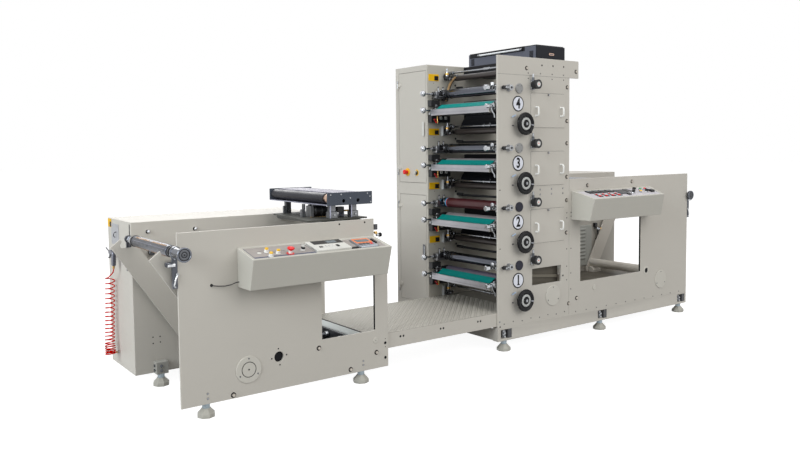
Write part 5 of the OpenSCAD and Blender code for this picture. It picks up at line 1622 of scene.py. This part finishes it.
def far_cheek(kit, x, z, tray_z):
    """Drive side cheek of the inking roller, its knob, and the ink tap below."""
    y0, y1 = FAR_Y
    kit.plate("Y", [(x - 98, z - 34), (x + 32, z - 34), (x + 32, z + 10), (x + 10, z + 34), (x - 40, z + 34),
                    (x - 60, z + 8), (x - 98, z - 2)], [circle(x, z, 10.1, 28)], y0, y0 + 14, 1, 1.2)
    kit.block((x - 98, y0 + 16, z - 34), (x + 30, y1, z + 6), 0, 2)
    kit.rod("Y", (x, 0, z), y0 - 2, y0 + 20, 22, 2, 32, 1.5)
    kit.rod("Y", (x - 58, 0, z + 4), y0 - 4, y0 + 12, 12, 2, 24, 1.5)
    kit.rods("X", (0, y0 + 22, z + 22), (x - 96, x - 40, 8, 2, 20, 1), (x - 100, x - 84, 13, 0, 20, 2))
    ball_knob(kit, KNOB_X, y0 + 30, z - 18, x - 98, 5, 2)
    kit.rod("X", (0, y0 + 24, z - 44), 2424, 2478, 11, 0, 20, 2)
    kit.rod("Y", (2450, 0, z - 46), y0 + 6, y0 + 44, 14, 3, 20, 2)
    # Ink tap with a red lever
    tap_x, tap_z = 2502, tray_z
    tap_y = y0 + 12
    kit.rods("Z", (tap_x, tap_y, 0), (tap_z - 62, tap_z - 2, 7, 6, 20, 1.5),
             (tap_z - 44, tap_z - 26, 11, 6, 6, 1.5))
    kit.rod("X", (0, tap_y, tap_z - 35), tap_x - 20, tap_x, 5, 6, 16)
    lever = turned((tap_x - 21, tap_y - 2, tap_z - 34), -0.5)
    kit.block((-9, -5, -26), (0, 5, 14), 7, 2.5, lever)
    kit.block((-15, -5, -6), (-3, 5, 16), 7, 2.5, lever)


def near_cheek(kit, x, z):
    """Operator's side cheek of the inking roller, with a hook bracket."""
    y0, y1 = NEAR_Y
    kit.plate("Y", [(x - 98, z - 34), (x + 32, z - 34), (x + 32, z + 10), (x + 10, z + 34), (x - 40, z + 34),
                    (x - 98, z + 20)], [circle(x, z, 10.1, 28)], y1 - 14, y1, 4, 1.2)
    kit.block((x - 98, y0 + 1, z - 34), (x + 30, y1 - 16, z + 20), 0, 2)
    # Bright hook bracket at the plate's edge, with a black stop
    hook = [(2414, z - 12), (2440, z + 12), (2456, z + 12), (2456, z - 103), (2446, z - 103), (2440, z - 76),
            (2424, z - 60), (2414, z - 40)]
    kit.plate("Y", hook, [circle(2440, z - 34, 6, 16)], y0 + 22, y0 + 34, 2, 1.5)
    kit.rods("X", (0, y0 + 28, z - 18), (2358, 2386, 17, 4, 32, 3.5), (2386, 2440, 8, 2, 24),
             (2392, 2412, 13, 2, 24, 2), (2440, x - 98, 9, 2, 24))
    kit.rod("Y", (2428, 0, z - 12), y0 + 6, y0 + 44, 14, 4, 28, 2)


def add_bearing_heads():
    """Carriages and cheeks at both ends of the stations' rollers."""
    kit = Shape(CARRIAGE_METAL, CARRIAGE_DARK, SHAFT_CHROME, BLACK, BRIGHT_KNOB, GREY_KNOB, BRASS, RED)
    for k in STATIONS:
        x, z = CYLINDERS[k][0], AXIS_Z[k]
        far_carriage(kit, k, x, z)
        near_carriage(kit, x, z)
        ink_x, ink_z = INK_ROLLERS[k][0], INK_ROLLERS[k][2]
        far_cheek(kit, ink_x, ink_z, z - 179)
        near_cheek(kit, ink_x, ink_z)
        kit.ball((2462, 16, z - 185), 13, 3, 24)
    return kit.stand_in("carriages", "bearing_heads", smooth=40)


add_bearing_heads()


def add_ink_trays():
    """Aluminium tray bars, each with a trough and a green liner over its lip."""
    trays = Shape(ALUMINIUM, TEAL, STEEL, CREAM, DARK_STEEL)
    for z in AXIS_Z:
        x0, x1, top, low = 2420, 2448, z - 128, z - 179
        trays.plate("Y", [(x0, low + 2), (x0 + 3, low), (x1, low), (x1, top), (x0 + 3, top), (x0, top - 2),
                          (x0, low + 22), (x0 + 2.4, low + 21), (x0 + 2.4, low + 18), (x0, low + 17)], [], 78,
                    768, 0, 0.6)
        trays.block((x0 - 1, 75, low - 1), (x1, 79, top + 1), 3, 0.8)
        trays.block((x0 + 1, 767, low), (x1 + 20, 770, top), 4, 0.6)
        liner = [(x1 - 16, top + 0.2), (x1 + 4, top + 2), (x1 + 24, top + 14), (x1 + 48, top + 31),
                 (x1 + 50, top + 35), (x1 + 44, top + 36), (x1 + 20, top + 21), (x1 + 2, top + 8),
                 (x1 - 18, top + 4)]
        trays.plate("Y", liner, [], 92, 716, 1, 0.8)
        trays.plate("Y", [(x1, z - 176), (2619, z - 176), (2627, z - 170), (2627, z - 138), (2622, z - 138),
                          (2619, z - 169), (x1 + 12, z - 169), (x1 + 12, z - 140), (x1, z - 140)], [], 79,
                    767, 2, 0.8)
    return trays.stand_in("ink_tray_set", "ink_trays")


add_ink_trays()


def add_wall_fittings():
    """Valve brackets, rod bearings, switch blocks and small bores on the drive side wall."""
    kit = Shape(LIGHT_BRACKET, BLACK, BRASS, SHAFT_CHROME, BLACK_STEEL, WHITE, SIGN_BLACK, STRAP_TAN)
    for i in range(5):
        z = AXIS_Z[0] - 266 + 446 * i
        x = 2614
        down = 74
        if i == 4:
            strap = curve_through([(2700, 0, 2062), (2684, 0, 2046), (2654, 0, 2020), (2625, 0, 1983),
                                   (2603, 0, 1925), (2590, 0, 1870), (2584, 0, 1846)], 12)
            outer = [(p.x, p.z) for p in strap]
            kit.plate("Y", outer + [(x + 9, z - 3) for x, z in reversed(outer)], [], 764, 784, 7, 0.6)
            kit.plate("Y", [(x + 12, z - 4) for x, z in outer] + [(x + 18, z - 6) for x,
                                                                  z in reversed(outer)], [], 766, 780, 1, 0.6)
            kit.rod("Y", (2700, 0, 2052), 760, WALL, 13, 3, 28, 1)
            kit.rod("Y", (2592, 0, 1856), 760, WALL, 9, 4, 24, 1)
        else:
            kit.block((x - 36, WALL - 6, z - down), (x + 16, WALL, z + 8), 0, 0.8)
            kit.block((x - 36, WALL - 26, z - down), (x - 30, WALL - 6, z + 8), 0, 0.8)
        # Valve: lower and upper end, radius, material, sides and chamfer of each length
        for low, high, radius, material, sides, chamfer in (
                (-66, -30, 21, 1, 28, 2), (-30, -22, 17, 3, 28, 1), (-22, -4, 19, 2, 12, 2),
                (-4, 6, 14, 3, 24, 1), (6, 34, 7, 3, 20, 1.5)):
            kit.rod("Z", (x, WALL - 40, 0), z + low, z + high, radius, material, sides, chamfer)
        kit.rods("X", (0, WALL - 40, z - 50), (x + 18, x + 44, 12, 1, 24, 2), (x + 44, x + 54, 9, 3, 20, 1.5))
        kit.rod("X", (0, WALL - 46, z - 54), x - 30, x - 18, 12, 4, 20, 1)
        kit.rod("Y", (x + 6, 0, z - 54), WALL - 74, WALL - 60, 10, 3, 20, 1.5)
        if i < 4:
            kit.lathe("Y", (2677, 0, z), [(WALL - 50, 7.1), (WALL - 50, 13), (WALL - 48, 14.5),
                                          (WALL - 14, 14.5), (WALL - 12, 22), (WALL, 22), (WALL, 7.1),
                                          (WALL - 50, 7.1)], 3, 36)
        else:
            kit.rods("Y", (2677, 0, z), (15, WALL, 7, 3, 28), (WALL - 50, WALL, 14.5, 3, 36, 1),
                     (340, 412, 11, 3, 28, 2))
    for z in AXIS_Z:
        kit.block((2438, WALL - 46, z - 98), (2530, WALL, z - 50), 1, 2)
        kit.block((2440, WALL - 46, z - 232), (2640, WALL, z - 176), 1, 2)
        for x in (2539, 2591):
            kit.block((x - 13, WALL - 49, z - 207), (x + 13, WALL - 46, z - 183), 5, 1.5)
            kit.rod("Y", (x, 0, z - 195), WALL - 51, WALL - 49, 5, 6, 20, 0.4)
        for x, up, start, end, radius, material, sides, chamfer in (
                (2735, 82, WALL - 1, WALL + 0.2, 9, 6, 24, 0), (2502, 92, WALL - 1, WALL + 0.2, 3, 6, 16, 0),
                (2772, 52, 60, WALL, 9.5, 4, 28, 0), (2752, 60, WALL - 70, WALL, 12, 4, 20, 2),
                (2712, 138, WALL - 10, WALL, 17, 4, 28, 1), (2626, 152, WALL - 46, WALL, 22, 4, 28, 2)):
            kit.rod("Y", (x, 0, z + up), start, end, radius, material, sides, chamfer)
    return kit.stand_in("drive_side_fittings", "wall_fittings")


LIGHT_BRACKET = powder_coat("bracket_coat", (0.40, 0.41, 0.42), 0.4)
STRAP_TAN = plastic("strap_tan", (0.33, 0.21, 0.10), 0.5)
add_wall_fittings()


def add_plain_plates():
    """Two-tone yellow and black plates without any sign."""
    plates = Shape(SIGN_YELLOW, SIGN_BLACK)
    for z in (a + 138 for a in AXIS_Z):
        x0, x1 = 2448, 2555
        plates.block((x0, WALL - 2.2, z - 28), (x1, WALL, z + 28), 0, 0.3)
        plates.block((x0 + 60, WALL - 2.6, z - 23), (x1 - 4, WALL - 1.6, z + 14), 1, 0.2)
    y0, y1, z0, z1 = 1248, 1326, 938, 995
    plates.block((-2, y0, z0), (0, y1, z1), 0, 0.3)
    plates.block((-2.4, y0 + 3, z0 + 3), (-1.6, y0 + 36, z1 - 19), 1, 0.2)
    return plates.stand_in("plain_plates", "label_plates")


add_plain_plates()


# ------------------------------------------------------------------ dryers, hood and lamp
def add_dryers():
    """Black hot-air chambers behind the rollers, with a curved guide sheet in front."""
    dryer = Shape(BLACK_COAT, HOOD_COAT)
    for k, a in enumerate(AXIS_Z):
        z0 = a + 154
        z1 = min(z0 + 240, STACK_TOP)
        dryer.block((2829, PLATE, z0), (3187, WALL, z1), 0, 3)
        sheet = [(2760 + 70 * t * t, z0 - 10 + 130 * t) for t in (i / 8 for i in range(9))]
        back = [(x + 3, z) for x, z in reversed(sheet)]
        if k < 3:
            dryer.prism("Y", sheet + back, 40, 800, 1)
    return dryer.stand_in("dryer_chambers", "dryer_boxes")


add_dryers()


def add_hood():
    """The exhaust hood and the lamp under it."""
    low, high = span("exhaust_hood")
    x0, y0, z0 = low
    x1, y1, z1 = high
    hood = Shape(HOOD_COAT, HOOD_LIT_SIDE, SIGN_BLACK, COPPER)
    hood.block((x0, y0, z0), (x1, y1, z1 - 6), 0, 3)
    hood.block((x0 + 8, y0 + 8, z1 - 6), (x1 - 8, y1 - 8, z1), 0, 2)
    # Lighter panel over the hood's left side: painted light
    hood.block((x0 - 0.8, y0 + 6, z0 + 4), (x0 + 1, y1 - 4, z1 - 8), 1, 0.4)
    for near in (75, 756):
        for k in range(8):
            hood.block((x0 - 1.4, near, z0 + 13 + 7 * k), (x0, near + 41, z0 + 18 + 7 * k), 2)
    latch = rounded(3026, 2169, 3082, 2187, 8)
    hood.plate("Y", latch, [], y0 - 3, y0 + 1, 3, 1)
    hood.plate("Y", rounded(3034, 2173, 3074, 2181, 3), [], y0 - 3.6, y0 - 2, 1, 0.3)
    hood.stand_in("hood_body", "exhaust_hood")
    low, high = span("lamp_tube")
    x0, y0, z0 = low
    x1, y1, z1 = high
    lamp = Shape(BLACK_COAT, TUBE_GLASS, SHAFT_CHROME)
    lamp.block((x1 - 4, y0 + 4, z0 - 8), (x1, y1, z0 + 29), 0, 1)
    lamp.rod("Y", (x1 - 12, 0, z0 + 6), 190, 695, 7.5, 1, 32, 1)
    for a in (187, 674):
        lamp.rod("Y", (x1 - 12, 0, z0 + 6), a, a + 24, 9.5, 2, 32, 1)
        lamp.block((x1 - 13, a + 4, z0 - 2), (x1 - 3, a + 20, z0 + 14), 0, 1)
    return lamp.stand_in("lamp_body", "lamp_tube")


TUBE_GLASS = plastic("lamp_glass", (0.74, 0.76, 0.78), 0.15, depth=0.00002)
COPPER = chrome("latch_metal", (0.62, 0.42, 0.32), 0.25)
add_hood()


# ------------------------------------------------------------------ cabinet fittings
def add_door_fittings():
    """Stop button and rotary switch on the upper door."""
    x = STACK_X
    kit = Shape(YELLOW, RED, BLACK, IVORY)
    kit.rods("X", (0, 1110, 1255), (x - 4, x, 34, 0, 48, 1), (x - 26, x - 4, 15, 1, 32, 1))
    kit.lathe("X", (x, 1110, 1255), [(-44, 0), (-43, 12), (-40, 19), (-34, 20.5), (-29, 19), (-25, 14)], 1,
              36)
    kit.rods("X", (0, 983, 1251), (x - 3, x, 27, 0, 40, 1), (x - 8, x, 19, 2, 36, 1))
    kit.block((-18, -5, -19), (0, 5, 19), 3, 2, turned((x - 8, 983, 1251), 0.5, "X"))
    return kit.stand_in("upper_door_fittings", "door_fittings")


add_door_fittings()


# ------------------------------------------------------------------ louvres, vents and rear panels
def louvres(name, place, step, count, length, material, slot_material):
    """Pressed louvres one below another, each a shallow bulge over a dark slot that is painted shade, by a
    node tree.

    In place's own frame they run along X, stand out towards -Y and step down Z.
    """
    holder, group, enter = start_tree(name, [(0, 0, 0)], [], ("Louvre length", "Louvre radius", "Step"),
                                      ("Count",))
    down = add_node(group, "ShaderNodeCombineXYZ", {"Z": add_math(group, "MULTIPLY", enter["Step"], -1.0)})
    line = add_node(group, "GeometryNodeMeshLine", {"Count": enter["Count"], "Offset": down})
    join = group.nodes.new("GeometryNodeJoinGeometry")
    for sides, flat, width, lower, finish in ((14, 0.55, 1, 0.0, material),
                                              (8, 0.35, 0.97, -0.62, slot_material)):
        bar = add_node(group, "GeometryNodeMeshCylinder", {
            "Vertices": sides, "Radius": enter["Louvre radius"], "Depth": enter["Louvre length"]})
        shift = add_math(group, "MULTIPLY", enter["Louvre radius"], lower)
        laid = add_node(group, "GeometryNodeTransform", {
            "Geometry": bar, "Rotation": (0, math.pi / 2, 0), "Scale": (1, flat, width),
            "Translation": add_node(group, "ShaderNodeCombineXYZ", {"Z": shift})})
        group.links.new(painted(group, laid, finish), join.inputs[0])
    mesh = grow(name, holder, group, copies_on(group, line, join.outputs[0]), {
        "Louvre length": float(length), "Louvre radius": step * 0.27, "Step": step, "Count": count}, place)
    return place_mesh(name, mesh, ROOT, (), 40)


BACK_Y = 1333
REAR = Matrix.Rotation(math.pi, 4, "Z")


def add_louvre_box():
    """Grey ventilated box on the rewind housing, with the hose fitting, tray and block near it."""
    low, high = span("louvre_box")
    box = Shape(BOX_COAT, DARK_STEEL, BLACK, BRASS, SHAFT_CHROME, LIT_CREAM, INNER_SHADE)
    box.block(low, high, 0, 2)
    box.block((low[0] - 0.4, low[1] + 6, low[2] + 12), (low[0] + 0.6, high[1] - 3, high[2] - 12), 1, 0.2)
    # Hose fitting and its black bracket beside the box
    x, y, z = 4520, HOUSING_FACE, 690
    box.block((x - 26, y - 30, z - 24), (x + 8, y, z + 14), 2, 2)
    box.rod("Y", (x - 6, 0, z - 36), y - 44, y - 6, 11, 4, 24, 2)
    box.rods("X", (0, y - 30, z - 44), (x + 2, x + 40, 9, 4, 24, 1.5), (x + 40, x + 56, 12, 3, 6, 1.5))
    box.tube([(x + 4, y - 28, z - 52), (x + 18, y - 26, z - 80), (x + 24, y - 20, z - 112),
              (x + 20, y - 8, z - 140), (x + 14, y + 1, z - 150)], 7, 2, 14)
    # Sheet across the housing in the dark coat, painted shade for the housing's inside, and the cast block
    # under the box
    box.block((3330, 20, 236), (4800, HOUSING_FACE, 242), 6, 1)
    box.prism("X", [(HOUSING_FACE, 196), (HOUSING_FACE, 292), (744, 292), (704, 262), (704, 196)], 4372, 4474,
              5)
    box.block((4368, 700, 196), (4560, HOUSING_FACE, 206), 5, 1.5)
    for dx in (18, 84):
        box.rod("Y", (4372 + dx, 0, 228), 698, 705, 8, 4, 20, 1)
    return box.stand_in("vent_box", "louvre_box")


BOX_COAT = powder_coat("box_coat", (0.50, 0.51, 0.48), 0.42)
add_louvre_box()
louvres("vent_box_louvres", Matrix.Translation((4160, 804, 653)), 35.2, 9, 404, BOX_COAT, VENT_SHADE)


def panel_with_locks(kit, x0, x1, z0, z1, y, locks):
    """A lift-off rear panel with a chamfered edge and quarter-turn locks."""
    kit.plate("Y", rounded(x0, z0, x1, z1, 14), [], y, y + 2.2, 0, 1.0)
    for x, z in locks:
        kit.rod("Y", (x, 0, z), y + 1.8, y + 5, 12, 2, 32, 1)
        kit.block((x - 8, y + 4.4, z - 1.4), (x + 8, y + 5.4, z + 1.4), 1, 0.2)


def add_rear_panels():
    """Lift-off panels on the drive side of the housings and the stack."""
    kit = Shape(CREAM, SIGN_BLACK, STEEL)
    y = BACK_Y - 1.0
    for x0, x1, z0, z1 in ((90, 700, 120, 880), (740, 1345, 120, 880), (3310, 3990, 140, 1080),
                           (4040, 4730, 140, 1080)):
        locks = [(x, z) for x in (x0 + 28, x1 - 28) for z in (z0 + 28, (z0 + z1) / 2, z1 - 28)]
        panel_with_locks(kit, x0, x1, z0, z1, y, locks)
    y = 1271
    for x0, x1, z0, z1 in ((2480, 3165, 160, 1060), (2480, 3165, 1160, 2080)):
        locks = [(x, z) for x in (x0 + 24, x1 - 24) for z in (z0 + 60, (z0 + z1) / 2, z1 - 60)]
        panel_with_locks(kit, x0, x1, z0, z1, y, locks)
    return kit.beside("rear_panels", "unwind_back_box")


add_rear_panels()
for label, x, y, z, width, rows in (("unwind_vents", 395, BACK_Y + 0.8, 330, 300, 7),
                                    ("unwind_vents_2", 1042, BACK_Y + 0.8, 330, 300, 7),
                                    ("rewind_vents", 3650, BACK_Y + 0.8, 380, 320, 8),
                                    ("rewind_vents_2", 4385, BACK_Y + 0.8, 380, 320, 8),
                                    ("cabinet_vents", 2822, 1272.8, 420, 360, 8),
                                    ("cabinet_vents_2", 2822, 1272.8, 1980, 360, 8)):
    louvres(label, Matrix.Translation((x, y, z)) @ REAR, 24.0, rows, width, CREAM, SIGN_BLACK)


def add_cabinet_trim():
    """Hinges and lock bars of the cabinet's doors."""
    kit = Shape(STEEL, DARK_STEEL, IVORY)
    for low_z, high_z in ((160, 1064), (1169, 2092)):
        for z in (low_z + 90, high_z - 90):
            kit.rod("Z", (2431, 1239, 0), z - 32, z + 32, 6, 0, 20, 1)
        middle_z = (low_z + high_z) / 2 - 15
        finish = 2 if low_z > 1000 else 1
        kit.block((2424.6, 866, middle_z - 58), (2426.6, 894, middle_z + 58), finish, 0.8)
    return kit.beside("cabinet_trim", "electrical_cabinet")


add_cabinet_trim()


# A near-white coat, painted light for the walkway's lit end face
LIT_END_COAT = powder_coat("walkway_end_painted_light_coat", (0.86, 0.88, 0.86), 0.5, tone=0.03)


def add_walkway_tray():
    """Strip and sill at the walkway's end, and the rollers and tray under its tread; the strip's near-white
    coat is painted light for the lit end face, and the tray's black is painted shade.
    """
    kit = Shape(DARK_STEEL, SIGN_BLACK, STEEL, CREAM, LIT_END_COAT)
    edge = span("walkway")[0][0]
    # Near-white strip over the walkway's end face, painted light, with a black line along its top
    kit.block((edge - 1.5, 20, 150), (edge + 1, 800, 212), 4, 0.4)
    kit.block((edge - 2, 20, 212), (edge + 0.5, 800, 217), 1)
    # Black sheet under the tread: painted shade for the dark space below it
    kit.block((960, 60, 108), (1316, 800, 122), 1, 1)
    kit.block((2440, 50, 4), (2446, 380, 92), 3, 1)
    for y in (150, 330, 510, 690):
        kit.rods("X", (0, y, 146), (990, 1310, 13, 0, 28, 2), (1240, 1262, 20, 2, 28, 2))
    kit.block((1270, 90, 122), (1292, 780, 178), 0, 2)
    return kit.beside("walkway_tray", "walkway")


add_walkway_tray()
